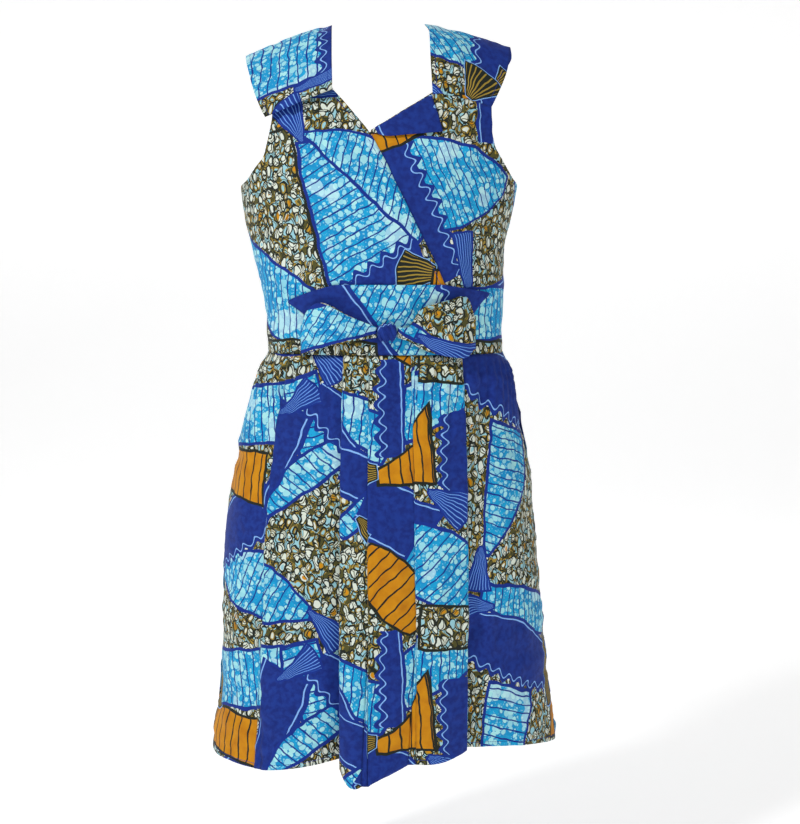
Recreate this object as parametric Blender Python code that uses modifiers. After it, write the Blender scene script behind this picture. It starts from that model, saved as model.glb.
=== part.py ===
"""Ankara wax print dress, worn and hollow: a sleeveless bodice whose right front wraps over the
left, wide shoulder straps, a midriff panel with a knotted bow, and a pleated skirt to the knee.

World metres, +Z up. The front faces -Y and the wearer's right side is at -X. The origin lies
between the wearer's shoulders, level with the tops of the straps. The tables are in
millimetres. Every piece is one layer of cloth: rows of points, made a wall by Solidify.
"""

import math
from collections import namedtuple

import bpy
from mathutils import Vector

MM = 0.001
CLOTH = 0.0010  # wall of each layer of cloth
SEAM = 0.0003  # gap between two pieces that meet edge to edge
LAYER = 0.0024  # from the middle of one layer to the middle of the next one lying on it
LEFT_FRONT_RISES = 0.134  # x where the left front starts to come out to its side seam
LEFT_FRONT_RISE = 0.018  # and how far it goes on doing so
WAIST = -0.411  # height of the seam between bodice and skirt
HEM = -0.930  # height of the hem at the side seams
ROUNDNESS = 2.3  # exponent of the body sections: 2 is an ellipse, more is squarer

# Colours stand for the print's main colour on each piece: red, green, blue, roughness.
TURQUOISE = (0.02, 0.36, 0.70, 0.75)
ROYAL = (0.02, 0.04, 0.28, 0.75)
OCHRE = (0.25, 0.19, 0.05, 0.75)

# Sections of the dress on its general figure, from the shoulders down.
Section = namedtuple("Section", "height half_width front back middle")
BODICE = [
    Section(-60, 187, 78, 86, 0),
    Section(-90, 184, 93, 98, 0),
    Section(-130, 182, 112, 108, 0),
    Section(-165, 181, 122, 113, -1),
    Section(-200, 179, 129, 113, -2),
    Section(-238, 172, 130, 109, -3),
    Section(-278, 164, 125, 104, -3),
    Section(-343, 156, 112, 97, 4),
    Section(-390, 153, 105, 92, 5),
    Section(-411, 153, 104, 92, 6),
]
SKIRT = [
    Section(-411, 154, 104, 92, 6),
    Section(-427, 160, 109, 99, 6),
    Section(-460, 171, 115, 107, 4),
    Section(-508, 183, 121, 114, 2),
    Section(-565, 194, 127, 120, 2),
    Section(-601, 199, 130, 124, 0),
    Section(-689, 208, 135, 130, 0),
    Section(-817, 216, 141, 139, 4),
    Section(-930, 228, 147, 147, 6),
]

# The two fronts and a back half, row by row: where each row starts at the armhole or side and
# where it ends at the neckline, free edge or centre back. SIDE stands for the side seam.
SIDE = 999
PanelRow = namedtuple("PanelRow", "outer_x outer_z inner_x inner_z")
RIGHT_FRONT = [
    PanelRow(134, -100, 58.5, -79.5),
    PanelRow(135.5, -121, 44, -95.5),
    PanelRow(139, -140, 30, -112.5),
    PanelRow(146, -160, 15.7, -130),
    PanelRow(158, -176, 6, -145),
    PanelRow(170, -191, -2, -160),
    PanelRow(SIDE, -202, -9, -173),
    PanelRow(SIDE, -225, -21.5, -200),
    PanelRow(SIDE, -255, -43, -243),
    PanelRow(SIDE, -290, -66, -288),
    PanelRow(SIDE, -330, -85, -330),
    PanelRow(SIDE, -372, -103, -372),
    PanelRow(SIDE, -410.8, -119, -410.8),
]
LEFT_FRONT = [
    PanelRow(141, -99, 66.5, -82.5),
    PanelRow(142, -118, 48, -94.5),
    PanelRow(143, -136, 26, -108),
    PanelRow(147, -155, 5, -121.5),
    PanelRow(158, -173, -9, -131),
    PanelRow(169, -189, -17, -141),
    PanelRow(SIDE, -202, -24, -154),
    PanelRow(SIDE, -225, -34, -190),
    PanelRow(SIDE, -255, -48, -235),
    PanelRow(SIDE, -290, -66, -285),
    PanelRow(SIDE, -330, -84, -330),
    PanelRow(SIDE, -372, -102, -372),
    PanelRow(SIDE, -410.8, -118, -410.8),
]
BACK_HALF = [
    PanelRow(144, -95, 86, -95),
    PanelRow(142, -112, 76, -109),
    PanelRow(142, -130, 54, -122),
    PanelRow(146, -152, 28, -130),
    PanelRow(157, -171, 0.15, -133),
    PanelRow(169, -189, 0.15, -147),
    PanelRow(SIDE, -202, 0.15, -164),
    PanelRow(SIDE, -240, 0.15, -207),
    PanelRow(SIDE, -280, 0.15, -262),
    PanelRow(SIDE, -325, 0.15, -318),
    PanelRow(SIDE, -367, 0.15, -366),
    PanelRow(SIDE, -410.8, 0.15, -410.8),
]

# Shoulder straps, from the back over the shoulder to the front. Each row runs from the neck
# edge to the shoulder edge. The first row meets the back, and the last one the front.
StrapRow = namedtuple("StrapRow", "neck_x neck_y neck_z end_x end_y end_z")
STRAP_BEHIND = [
    StrapRow(80, 84, -58, 151, 63, -68),
    StrapRow(73, 62, -22, 162, 48, -44),
    StrapRow(66, 32, 2, 171, 26, -30),
]
RIGHT_STRAP_FRONT = [
    StrapRow(63, 0, 11, 174, 0, -27),
    StrapRow(62, -31, 3, 172, -25, -38),
    StrapRow(61, -60, -18, 166, -47, -58),
    StrapRow(60, -84, -45, 158, -69, -82),
    StrapRow(59, -99, -71, 148, -86, -105),
    StrapRow(59, -102, -78, 144, -89.5, -112.5),
    StrapRow(59, -99, -80.5, 143, -86, -113.5),
    StrapRow(59, -94, -78.2, 140, -79, -102),
]
LEFT_STRAP_FRONT = [
    StrapRow(57, 0, 12, 168, 0, -18),
    StrapRow(62, -29, 1, 166, -23, -31),
    StrapRow(63, -54, -21, 160, -41, -56),
    StrapRow(64, -74, -50, 150, -58, -80),
]
STRAP_SEAM = 0.0008  # gap between a strap and the panel that it meets at an angle
STRAP_CROWN = 3.5  # how far the middle of a strap stands off the straight line between edges

# The fold turned out along the left front's neckline: its upper and lower edge, from the V.
FoldRow = namedtuple("FoldRow", "top_x top_z low_x low_z")
NECKLINE_FOLD = [
    FoldRow(-11, -131.5, -10, -133.5),
    FoldRow(8, -120.5, 8, -139),
    FoldRow(28, -108, 30, -137.5),
    FoldRow(48, -95.5, 55, -135.5),
    FoldRow(64.5, -85.5, 78, -133),
]

# The midriff panel under the bow, from its level top edge down to the waist seam.
BandRow = namedtuple("BandRow", "height right_x left_x")
MIDRIFF = [
    BandRow(-322.5, -56, 79),
    BandRow(-328, -76, 112),
    BandRow(-333, -92, 136),
    BandRow(-343, -114, 129),
    BandRow(-352, -104, 122),
    BandRow(-362, -93, 115),
    BandRow(-372, -92, 113),
    BandRow(-390, -93, 113),
    BandRow(-410.5, -93, 114),
]

# Each bow loop from the knot out to its folded end. The front layer stands off the bodice by
# lift, and the back layer lies on the midriff panel.
LoopRow = namedtuple("LoopRow", "x top low lift")
RIGHT_LOOP = [
    LoopRow(-4, -375, -388, 9),
    LoopRow(-19, -369, -390, 12),
    LoopRow(-38, -361, -393, 14),
    LoopRow(-57, -350, -398, 15),
    LoopRow(-74, -345, -403, 14.5),
    LoopRow(-87, -356, -408, 12.5),
    LoopRow(-94, -372, -411, 9),
]
LEFT_LOOP = [
    LoopRow(22, -375, -388, 9),
    LoopRow(36, -374, -393, 12),
    LoopRow(50, -353, -402, 14),
    LoopRow(68, -346, -409, 15.5),
    LoopRow(86, -341, -413, 15.5),
    LoopRow(103, -338, -414, 13),
    LoopRow(114, -362, -404, 9),
]
LOOP_BACK = 4.8  # lift of a loop's back layer
LOOP_BACK_LOW = -408  # the back layer ends above the skirt
KNOT = namedtuple("Knot", "x z half_width half_height depth lift")(9, -381.5, 12, 11.5, 8, 11.5)

# Fold edges of the skirt front from right to left. Each edge faces the right (-1) or the left
# (+1), and cloth of the width under_... lies turned back behind it.
Pleat = namedtuple("Pleat", "waist_x hem_x faces under_waist under_hem")
PLEATS = [
    Pleat(-112, -149, -1, 16, -10),
    Pleat(-44, -50, -1, 27, 12),
    Pleat(-12, -14, -1, 18, -8),
    Pleat(40, 46, -1, 22, -10),
    Pleat(101, 113, 1, 27, 12),
]
# The stretches of cloth between those edges: how far each stands off the skirt's section at the
# waist and at the hem, how much lower than the side seams its hem hangs, and its columns.
Span = namedtuple(
    "Span",
    "waist_start waist_end hem_start hem_mid hem_end drop_start drop_mid drop_end columns",
)
SPANS = [
    Span(0, -2.5, 0, 4, 1, 0, 3, 7, 5),
    Span(2.5, -2.5, 4, -2, -28, 7, 0, -12, 7),
    Span(2.5, -2.5, 2, 19, 18, 0, 16, 15, 3),
    Span(2.5, -2.5, 19, 8, -4, 15, 3, -6, 4),
    Span(2.5, 2.5, -2, -3, -13, -6, -8, -18, 4),
    Span(-2.5, 0, -28, -20, 0, -19, -12, 0, 7),
]
FLARE = 1.25  # how late the folds open on the way down to the hem: 1 is evenly
TURN = 0.0012  # how far the cloth bulges where it turns back in a pleat
SKIRT_ROWS = (0, 0.05, 0.12, 0.21, 0.32, 0.45, 0.6, 0.75, 0.88, 1)

# Soft folds of the skirt back on each side: where they run, in degrees from the centre back,
# how wide they are and how far they stand off at the hem.
Fold = namedtuple("Fold", "angle width push")
RIGHT_BACK_FOLDS = [Fold(9, 9, 7), Fold(27, 8, -8), Fold(44, 10, 9), Fold(66, 9, -6)]
LEFT_BACK_FOLDS = [Fold(12, 8, -7), Fold(30, 10, 9), Fold(51, 8, -7), Fold(70, 9, 6)]


def section_at(table, height):
    """The section at a height, with a smooth curve through the table's rows."""
    z = height / MM
    rows = sorted(table)
    last = len(rows) - 2
    low = max(0, min(last, sum(row.height <= z for row in rows) - 1))
    a, b = rows[low], rows[low + 1]
    before, after = rows[max(0, low - 1)], rows[min(last + 1, low + 2)]
    t = (z - a.height) / (b.height - a.height)
    step = b.height - a.height

    def value(name):
        slope_a = (getattr(b, name) - getattr(before, name)) / (b.height - before.height)
        slope_b = (getattr(after, name) - getattr(a, name)) / (after.height - a.height)
        start, end = getattr(a, name), getattr(b, name)
        hermite = (2 * t**3 - 3 * t**2 + 1) * start + (3 * t**2 - 2 * t**3) * end
        return (hermite + step * ((t**3 - 2 * t**2 + t) * slope_a + (t**3 - t**2) * slope_b)) * MM

    return [value(name) for name in ("half_width", "front", "back", "middle")]


def power(value, exponent):
    return math.copysign(abs(value) ** exponent, value)


def on_form(table, angle, height, lift=0.0):
    """The point of the form at an angle from the centre front, towards +X, moved out by lift."""
    half_width, front, back, middle = section_at(table, height)
    depth = front if math.cos(angle) >= 0 else back
    across, along = math.sin(angle), math.cos(angle)
    x = half_width * power(across, 2 / ROUNDNESS)
    y = -depth * power(along, 2 / ROUNDNESS)
    share = 2 - 2 / ROUNDNESS
    outward = Vector((power(across, share) / half_width, -power(along, share) / depth, 0)).normalized()
    return Vector((middle + x, y, height)) + outward * lift


def front_angle(table, x, height):
    """The angle at which the front of the form has this x."""
    half_width, _, _, middle = section_at(table, height)
    share = max(-1.0, min(1.0, (x - middle) / half_width))
    return math.asin(power(share, ROUNDNESS / 2))


def seam_angle(table, height, back=False):
    """The angle beside the left side seam, half a seam gap before or behind it."""
    depth = section_at(table, height)[2 if back else 1]
    off = math.asin((SEAM / 2 / depth) ** (ROUNDNESS / 2))
    return math.pi / 2 + (off if back else -off)


def blend(a, b, t):
    return a + (b - a) * t


def smooth(t):
    t = max(0.0, min(1.0, t))
    return t * t * (3 - 2 * t)


def through(start, middle, end, t):
    """The parabola through three evenly spaced values."""
    return start * (1 - t) * (1 - 2 * t) + 4 * middle * t * (1 - t) + end * t * (2 * t - 1)


def collection():
    """Empties the scene and makes the dress's collection."""
    for thing in list(bpy.data.objects):
        bpy.data.objects.remove(thing, do_unlink=True)
    made = bpy.data.collections.new("ankara_wax_print_dress")
    bpy.context.scene.collection.children.link(made)
    return made


def finish_for(name, colour):
    material = bpy.data.materials.new(name + "_cloth")
    material.use_nodes = True
    shader = material.node_tree.nodes["Principled BSDF"]
    shader.inputs["Base Color"].default_value = (*colour[:3], 1)
    shader.inputs["Roughness"].default_value = colour[3]
    shader.inputs["Metallic"].default_value = 0
    return material


def add_object(home, name, mesh, colour):
    mesh.materials.append(finish_for(name, colour))
    mesh.shade_smooth()
    made = bpy.data.objects.new(name, mesh)
    home.objects.link(made)
    return made


def lay_cloth(home, name, rows, colour):
    """One piece of cloth through rows of points, which become a wall around them."""
    width = len(rows[0])
    points = [point for row in rows for point in row]
    faces = [
        (r * width + c, r * width + c + 1, (r + 1) * width + c + 1, (r + 1) * width + c)
        for r in range(len(rows) - 1)
        for c in range(width - 1)
    ]
    mesh = bpy.data.meshes.new(name)
    mesh.from_pydata(points, [], faces)
    mesh.update()
    wall = add_object(home, name, mesh, colour).modifiers.new("wall", "SOLIDIFY")
    wall.thickness = CLOTH
    wall.offset = 0


def bodice_rows(table_rows, side, columns, lift, back=False):
    """Rows of a bodice panel, from its armhole or side seam to its inner edge. side is -1 for the
    wearer's right. lift(x, height) says how far the cloth stands off the form."""
    rows = []
    for row in table_rows:
        outer_z, inner_z = row.outer_z * MM, row.inner_z * MM
        inner_x = side * row.inner_x * MM
        if row.outer_x == SIDE:
            outer = side * seam_angle(BODICE, outer_z, back)
        else:
            outer = front_angle(BODICE, side * row.outer_x * MM, outer_z)
        inner = front_angle(BODICE, inner_x, inner_z)
        if back:
            outer = outer if row.outer_x == SIDE else side * math.pi - outer
            inner = side * math.pi - front_angle(BODICE, inner_x, inner_z)
        cloth = []
        for column in range(columns + 1):
            t = column / columns
            angle, height = blend(outer, inner, t), blend(outer_z, inner_z, t)
            flat = on_form(BODICE, angle, height)
            cloth.append(on_form(BODICE, angle, height, lift(flat.x, height)))
        rows.append(cloth)
    return rows


def right_front_lift(x, height):
    return 0.0


def left_front_lift(x, height):
    """The left front lies one layer in, under the right one, and comes out to its side seam."""
    return -LAYER * (1 - smooth((x - LEFT_FRONT_RISES) / LEFT_FRONT_RISE))


def make_bodice(home):
    lay_cloth(home, "right_front", bodice_rows(RIGHT_FRONT, -1, 18, right_front_lift), TURQUOISE)
    lay_cloth(home, "left_front", bodice_rows(LEFT_FRONT, 1, 20, left_front_lift), ROYAL)
    for name, side in (("right_back", -1), ("left_back", 1)):
        rows = bodice_rows(BACK_HALF, side, 8, lambda x, height: 0.0, back=True)
        lay_cloth(home, name, rows, TURQUOISE)


def strap_row(side, neck, end, crown, columns=6):
    """Points from the neck edge to the shoulder edge, crowned away from the shoulder's axis."""
    cloth = []
    for column in range(columns + 1):
        t = column / columns
        point = neck.lerp(end, t)
        outward = Vector((0, point.y, point.z + 0.09)).normalized()
        cloth.append(point + outward * crown * MM * math.sin(math.pi * t))
    return cloth


def joining_row(panel_row, side, lift_at, back, gap, columns=6):
    """A strap's end, on the form just above a bodice panel's top row."""
    outer_z, inner_z = panel_row.outer_z * MM + gap, panel_row.inner_z * MM + gap
    outer = front_angle(BODICE, side * panel_row.outer_x * MM, outer_z)
    inner = front_angle(BODICE, side * panel_row.inner_x * MM, inner_z)
    if back:
        outer, inner = side * math.pi - outer, side * math.pi - inner
    lift = lift_at(side * panel_row.inner_x * MM, inner_z)
    return [
        on_form(BODICE, blend(inner, outer, c / columns), blend(inner_z, outer_z, c / columns), lift)
        for c in range(columns + 1)
    ]


def make_straps(home):
    level_end = CLOTH / 2 + STRAP_SEAM  # the right strap comes to its seam level, from in front
    for name, side, front, panel, lift_at, gap in (
        ("right_strap", -1, RIGHT_STRAP_FRONT, RIGHT_FRONT, right_front_lift, level_end),
        ("left_strap", 1, LEFT_STRAP_FRONT, LEFT_FRONT, left_front_lift, STRAP_SEAM),
    ):
        rows = [joining_row(BACK_HALF[0], side, right_front_lift, True, STRAP_SEAM)]
        for row in STRAP_BEHIND + front:
            neck = Vector((side * row.neck_x, row.neck_y, row.neck_z)) * MM
            end = Vector((side * row.end_x, row.end_y, row.end_z)) * MM
            rows.append(strap_row(side, neck, end, STRAP_CROWN))
        rows.append(joining_row(panel[0], side, lift_at, False, gap))
        lay_cloth(home, name, rows, TURQUOISE)


def on_front(x, height, lift):
    return on_form(BODICE, front_angle(BODICE, x, height), height, lift)


def make_neckline_fold(home, across=4):
    """The fold lies one layer out from the left front, which itself lies one layer in."""
    rows = []
    for row in NECKLINE_FOLD:
        line = []
        for step in range(across + 1):
            t = step / across
            x, z = blend(row.top_x, row.low_x, t) * MM, blend(row.top_z, row.low_z, t) * MM
            line.append(on_front(x, z, left_front_lift(x, z) + LAYER))
        rows.append(line)
    lay_cloth(home, "neckline_fold", rows, ROYAL)


def make_midriff(home, columns=14):
    rows = []
    for row in MIDRIFF:
        z = row.height * MM
        xs = [blend(row.right_x, row.left_x, c / columns) * MM for c in range(columns + 1)]
        rows.append([on_front(x, z, LAYER) for x in xs])
    lay_cloth(home, "midriff_panel", rows, ROYAL)


def make_loop(home, name, table, colour, across=5):
    """A strip that leaves the knot, turns back at its outer end and returns behind itself."""
    end = table[-1]
    reach = 2.5 if end.x > 0 else -2.5
    turn = LoopRow(end.x + reach, end.top, end.low, (end.lift + LOOP_BACK) / 2)
    behind = [
        row._replace(lift=LOOP_BACK, low=max(row.low, LOOP_BACK_LOW)) for row in reversed(table)
    ]
    path = list(table) + [turn] + behind
    rows = []
    for row in path:
        line = []
        for step in range(across + 1):
            t = step / across
            belly = 1 + 0.12 * math.sin(math.pi * t) if row.lift > LOOP_BACK else 1
            height = blend(row.top, row.low, t) * MM
            line.append(on_front(row.x * MM, height, row.lift * MM * belly))
        rows.append(line)
    lay_cloth(home, name, rows, colour)


def make_knot(home, rings=7, sides=14):
    """The knot that draws the bow in: a rounded block, squarer than an ellipsoid."""
    centre = on_front(KNOT.x * MM, KNOT.z * MM, KNOT.lift * MM)
    points = [centre + Vector((-KNOT.half_width * 0.985, 0, 0)) * MM]
    for ring in range(1, rings):
        along = math.pi * ring / rings
        size = power(math.sin(along), 0.8)
        x = -KNOT.half_width * power(math.cos(along), 0.8)
        for side in range(sides):
            turn = 2 * math.pi * side / sides
            y = KNOT.depth * size * power(math.cos(turn), 0.85)
            z = KNOT.half_height * size * power(math.sin(turn), 0.85)
            points.append(centre + Vector((x, y, z)) * MM)
    points.append(centre + Vector((KNOT.half_width * 0.985, 0, 0)) * MM)
    last = len(points) - 1
    faces = []
    for side in range(sides):
        after = (side + 1) % sides
        faces.append((0, 1 + after, 1 + side))
        for ring in range(rings - 2):
            a, b = 1 + ring * sides, 1 + (ring + 1) * sides
            faces.append((a + side, a + after, b + after, b + side))
        a = 1 + (rings - 2) * sides
        faces.append((a + side, a + after, last))
    mesh = bpy.data.meshes.new("bow_knot")
    mesh.from_pydata(points, [], faces)
    mesh.update()
    add_object(home, "bow_knot", mesh, ROYAL)


def make_bow(home):
    make_loop(home, "bow_loop_right", RIGHT_LOOP, TURQUOISE)
    make_loop(home, "bow_loop_left", LEFT_LOOP, OCHRE)
    make_knot(home)


def skirt_front_row(v):
    """One row of the skirt front, from the right side seam to the left, with its pleats."""
    height = blend(WAIST - SEAM, HEM, v)
    flare = v**FLARE
    edges = [blend(p.hem_x, p.waist_x, (1 - v) ** 3) * MM for p in PLEATS]
    unders = [blend(p.under_waist, p.under_hem, v) * MM for p in PLEATS]

    def place(x, off, drop):
        z = height - drop * MM * v * v
        return on_form(SKIRT, front_angle(SKIRT, x, z), z, off)

    row = []
    for number, span in enumerate(SPANS):
        starts_on_top = number > 0 and PLEATS[number - 1].faces < 0
        ends_on_top = number < len(PLEATS) and PLEATS[number].faces > 0
        first_z = height - span.drop_start * MM * v * v
        last_z = height - span.drop_end * MM * v * v
        if number == 0:
            first = -seam_angle(SKIRT, first_z)
        else:
            under = 0 if starts_on_top else -unders[number - 1]
            first = front_angle(SKIRT, edges[number - 1] + under, first_z)
        if number == len(PLEATS):
            last = seam_angle(SKIRT, last_z)
        else:
            under = 0 if ends_on_top else unders[number]
            last = front_angle(SKIRT, edges[number] + under, last_z)
        for step in range(span.columns + 1):
            t = step / span.columns
            waist_off = blend(span.waist_start, span.waist_end, t)
            hem_off = through(span.hem_start, span.hem_mid, span.hem_end, t)
            drop = through(span.drop_start, span.drop_mid, span.drop_end, t)
            z = height - drop * MM * v * v
            off = blend(waist_off, hem_off, flare) * MM
            row.append(on_form(SKIRT, blend(first, last, t), z, off))
        if number < len(PLEATS):
            after = SPANS[number + 1]
            off_a = blend(span.waist_end, span.hem_end, flare) * MM
            off_b = blend(after.waist_start, after.hem_start, flare) * MM
            end_a = edges[number] + (0 if ends_on_top else unders[number])
            end_b = edges[number] - (unders[number] if ends_on_top else 0)
            drop = (span.drop_end, after.drop_start)
            bulge = TURN * smooth(unders[number] / 0.008)
            for t, turned in ((0.24, bulge), (0.40, 0), (0.60, 0), (0.76, -bulge)):
                x = end_a + turned if t < 0.5 else end_b + turned
                row.append(place(x, blend(off_a, off_b, t), blend(*drop, t)))
    return row


def make_skirt_front(home):
    rows = [skirt_front_row(v) for v in SKIRT_ROWS]
    lay_cloth(home, "skirt_front", rows, OCHRE)


def make_skirt_back(home, name, side, folds, columns=14):
    """Half of the skirt back, from its side seam to the centre back, in soft folds."""
    rows = []
    for v in SKIRT_ROWS:
        height = blend(WAIST - SEAM, HEM, v)
        centre_gap = math.asin((SEAM / 2 / section_at(SKIRT, height)[0]) ** (ROUNDNESS / 2))
        outer, inner = seam_angle(SKIRT, height, back=True), math.pi - centre_gap
        line = []
        for column in range(columns + 1):
            angle = blend(outer, inner, column / columns)
            from_centre = 180 - math.degrees(angle)
            push = sum(f.push * math.exp(-(((from_centre - f.angle) / f.width) ** 2)) for f in folds)
            fade = smooth(min(column, columns - column) / 2)
            lift = push * MM * fade * v**FLARE
            line.append(on_form(SKIRT, side * angle, height, lift))
        rows.append(line)
    lay_cloth(home, name, rows, TURQUOISE)


def make_dress():
    home = collection()
    make_bodice(home)
    make_straps(home)
    make_neckline_fold(home)
    make_midriff(home)
    make_bow(home)
    make_skirt_front(home)
    make_skirt_back(home, "skirt_back_right", -1, RIGHT_BACK_FOLDS)
    make_skirt_back(home, "skirt_back_left", 1, LEFT_BACK_FOLDS)


make_dress()
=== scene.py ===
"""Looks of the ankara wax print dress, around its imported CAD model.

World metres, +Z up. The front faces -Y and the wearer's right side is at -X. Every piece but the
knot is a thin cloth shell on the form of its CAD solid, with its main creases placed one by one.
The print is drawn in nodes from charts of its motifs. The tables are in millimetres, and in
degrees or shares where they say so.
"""

import math
from collections import namedtuple

import bpy
import numpy as np
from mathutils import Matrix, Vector


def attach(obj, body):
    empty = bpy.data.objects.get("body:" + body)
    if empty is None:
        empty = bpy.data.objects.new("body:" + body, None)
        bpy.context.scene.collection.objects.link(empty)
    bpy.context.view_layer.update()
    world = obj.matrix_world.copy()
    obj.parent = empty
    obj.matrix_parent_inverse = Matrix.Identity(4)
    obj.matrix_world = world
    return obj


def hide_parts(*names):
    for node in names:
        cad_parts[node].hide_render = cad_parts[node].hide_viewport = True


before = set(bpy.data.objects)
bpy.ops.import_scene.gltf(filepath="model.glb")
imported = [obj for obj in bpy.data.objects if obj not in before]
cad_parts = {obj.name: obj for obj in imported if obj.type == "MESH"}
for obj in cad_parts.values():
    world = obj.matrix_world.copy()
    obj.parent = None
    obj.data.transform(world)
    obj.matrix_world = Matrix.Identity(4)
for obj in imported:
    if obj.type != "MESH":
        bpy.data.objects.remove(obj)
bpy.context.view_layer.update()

MM = 0.001
CLOTH = 0.0006  # thickness of the visible cloth
SEAM = 0.00002  # left between two pieces of visible cloth that meet edge to edge
LAYER = 0.0024  # from the middle of one layer to the middle of the next one lying on it
WAIST = -0.411  # height of the seam between bodice and skirt
HEM = -0.930  # height of the hem at the side seams
ROUNDNESS = 2.3  # exponent of the body sections: 2 is an ellipse, more is squarer
DEPTH_TO_WIDTH = 0.68  # a typical section's depth over its half width
LEFT_FRONT_RISES = 0.134  # x where the left front starts to come out to its side seam
LEFT_FRONT_RISE = 0.018  # and how far it goes on doing so
QUAD = 0.0040  # side of a cloth quad
SKIRT_LENGTH = 0.52  # these three only say how many quads a panel gets
BODICE_LENGTH = 0.32
HALF_PANEL_WIDTH = 0.30


def as_rows(kind, values):
    """A table: each row of values under the column names of its kind."""
    return [kind(*row) for row in values]


# ---- the form, as in the CAD model ----

Section = namedtuple("Section", "height half_width front back middle")
BODICE = as_rows(Section, [
    (-60, 187, 78, 86, 0),
    (-90, 184, 93, 98, 0),
    (-130, 182, 112, 108, 0),
    (-165, 181, 122, 113, -1),
    (-200, 179, 129, 113, -2),
    (-238, 172, 130, 109, -3),
    (-278, 164, 125, 104, -3),
    (-343, 156, 112, 97, 4),
    (-390, 153, 105, 92, 5),
    (-411, 153, 104, 92, 6),
])
SKIRT = as_rows(Section, [
    (-411, 154, 104, 92, 6),
    (-427, 160, 109, 99, 6),
    (-460, 171, 115, 107, 4),
    (-508, 183, 121, 114, 2),
    (-565, 194, 127, 120, 2),
    (-601, 199, 130, 124, 0),
    (-689, 208, 135, 130, 0),
    (-817, 216, 141, 139, 4),
    (-930, 228, 147, 147, 6),
])

SIDE = 999  # stands for the side seam
PanelRow = namedtuple("PanelRow", "outer_x outer_z inner_x inner_z")
RIGHT_FRONT = as_rows(PanelRow, [
    (134, -100, 58.5, -79.5),
    (135.5, -121, 44, -95.5),
    (139, -140, 30, -112.5),
    (146, -160, 15.7, -130),
    (158, -176, 6, -145),
    (170, -191, -2, -160),
    (SIDE, -202, -9, -173),
    (SIDE, -225, -21.5, -200),
    (SIDE, -255, -43, -243),
    (SIDE, -290, -66, -288),
    (SIDE, -330, -85, -330),
    (SIDE, -372, -103, -372),
    (SIDE, -410.8, -119, -410.8),
])
LEFT_FRONT = as_rows(PanelRow, [
    (141, -99, 66.5, -82.5),
    (142, -118, 48, -94.5),
    (143, -136, 26, -108),
    (147, -155, 5, -121.5),
    (158, -173, -9, -131),
    (169, -189, -17, -141),
    (SIDE, -202, -24, -154),
    (SIDE, -225, -34, -190),
    (SIDE, -255, -48, -235),
    (SIDE, -290, -66, -285),
    (SIDE, -330, -84, -330),
    (SIDE, -372, -102, -372),
    (SIDE, -410.8, -118, -410.8),
])
BACK_HALF = as_rows(PanelRow, [
    (144, -95, 86, -95),
    (142, -112, 76, -109),
    (142, -130, 54, -122),
    (146, -152, 28, -130),
    (157, -171, 0.01, -133),
    (169, -189, 0.01, -147),
    (SIDE, -202, 0.01, -164),
    (SIDE, -240, 0.01, -207),
    (SIDE, -280, 0.01, -262),
    (SIDE, -325, 0.01, -318),
    (SIDE, -367, 0.01, -366),
    (SIDE, -410.8, 0.01, -410.8),
])

StrapRow = namedtuple("StrapRow", "neck_x neck_y neck_z end_x end_y end_z")
STRAP_BEHIND = as_rows(StrapRow, [
    (80, 84, -58, 151, 63, -68),
    (73, 62, -22, 162, 48, -44),
    (66, 32, 2, 171, 26, -30),
])
RIGHT_STRAP_FRONT = as_rows(StrapRow, [
    (63, 0, 11, 174, 0, -27),
    (62, -31, 3, 172, -25, -38),
    (61, -60, -18, 166, -47, -58),
    (60, -84, -45, 158, -69, -82),
    (59, -99, -71, 148, -86, -105),
    (59, -102, -78, 144, -89.5, -112.5),
    (59, -99, -80.5, 143, -86, -113.5),
    (59, -94, -78.2, 140, -79, -102),
])
LEFT_STRAP_FRONT = as_rows(StrapRow, [
    (57, 0, 12, 168, 0, -18),
    (62, -29, 1, 166, -23, -31),
    (63, -54, -21, 160, -41, -56),
    (64, -74, -50, 150, -58, -80),
])
STRAP_SEAM = 0.0008  # gap between a strap and the panel that it meets at an angle
STRAP_CROWN = 0.0035  # how far the middle of a strap stands off the line between its edges
TUCK_BEHIND = 0.0012  # a strap's end lies behind the panel it is sewn to
TUCK_DOWN = 0.0030

FoldRow = namedtuple("FoldRow", "top_x top_z low_x low_z")
NECKLINE_FOLD = as_rows(FoldRow, [
    (-11, -131.5, -10, -133.5),
    (8, -120.5, 8, -139),
    (28, -108, 30, -137.5),
    (48, -95.5, 55, -135.5),
    (64.5, -85.5, 78, -133),
])

BandRow = namedtuple("BandRow", "height right_x left_x")
MIDRIFF = as_rows(BandRow, [
    (-322.5, -56, 79),
    (-328, -76, 112),
    (-333, -92, 136),
    (-343, -114, 129),
    (-352, -104, 122),
    (-362, -93, 115),
    (-372, -92, 113),
    (-390, -93, 113),
    (-410.5, -93, 114),
])

LoopRow = namedtuple("LoopRow", "x top low lift")
RIGHT_LOOP = as_rows(LoopRow, [
    (-4, -375, -388, 9),
    (-19, -369, -390, 12),
    (-38, -361, -393, 14),
    (-57, -350, -398, 15),
    (-74, -345, -403, 14.5),
    (-87, -356, -408, 12.5),
    (-94, -372, -411, 9),
])
LEFT_LOOP = as_rows(LoopRow, [
    (22, -375, -388, 9),
    (36, -374, -393, 12),
    (50, -353, -402, 14),
    (68, -346, -409, 15.5),
    (86, -341, -413, 15.5),
    (103, -338, -414, 13),
    (114, -362, -404, 9),
])
LOOP_BACK = 4.8  # lift of a loop's back layer
LOOP_BACK_LOW = -408  # the back layer ends above the skirt
KNOT = namedtuple("Knot", "x z half_width half_height depth lift")(9, -381.5, 12, 11.5, 8, 11.5)

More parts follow.
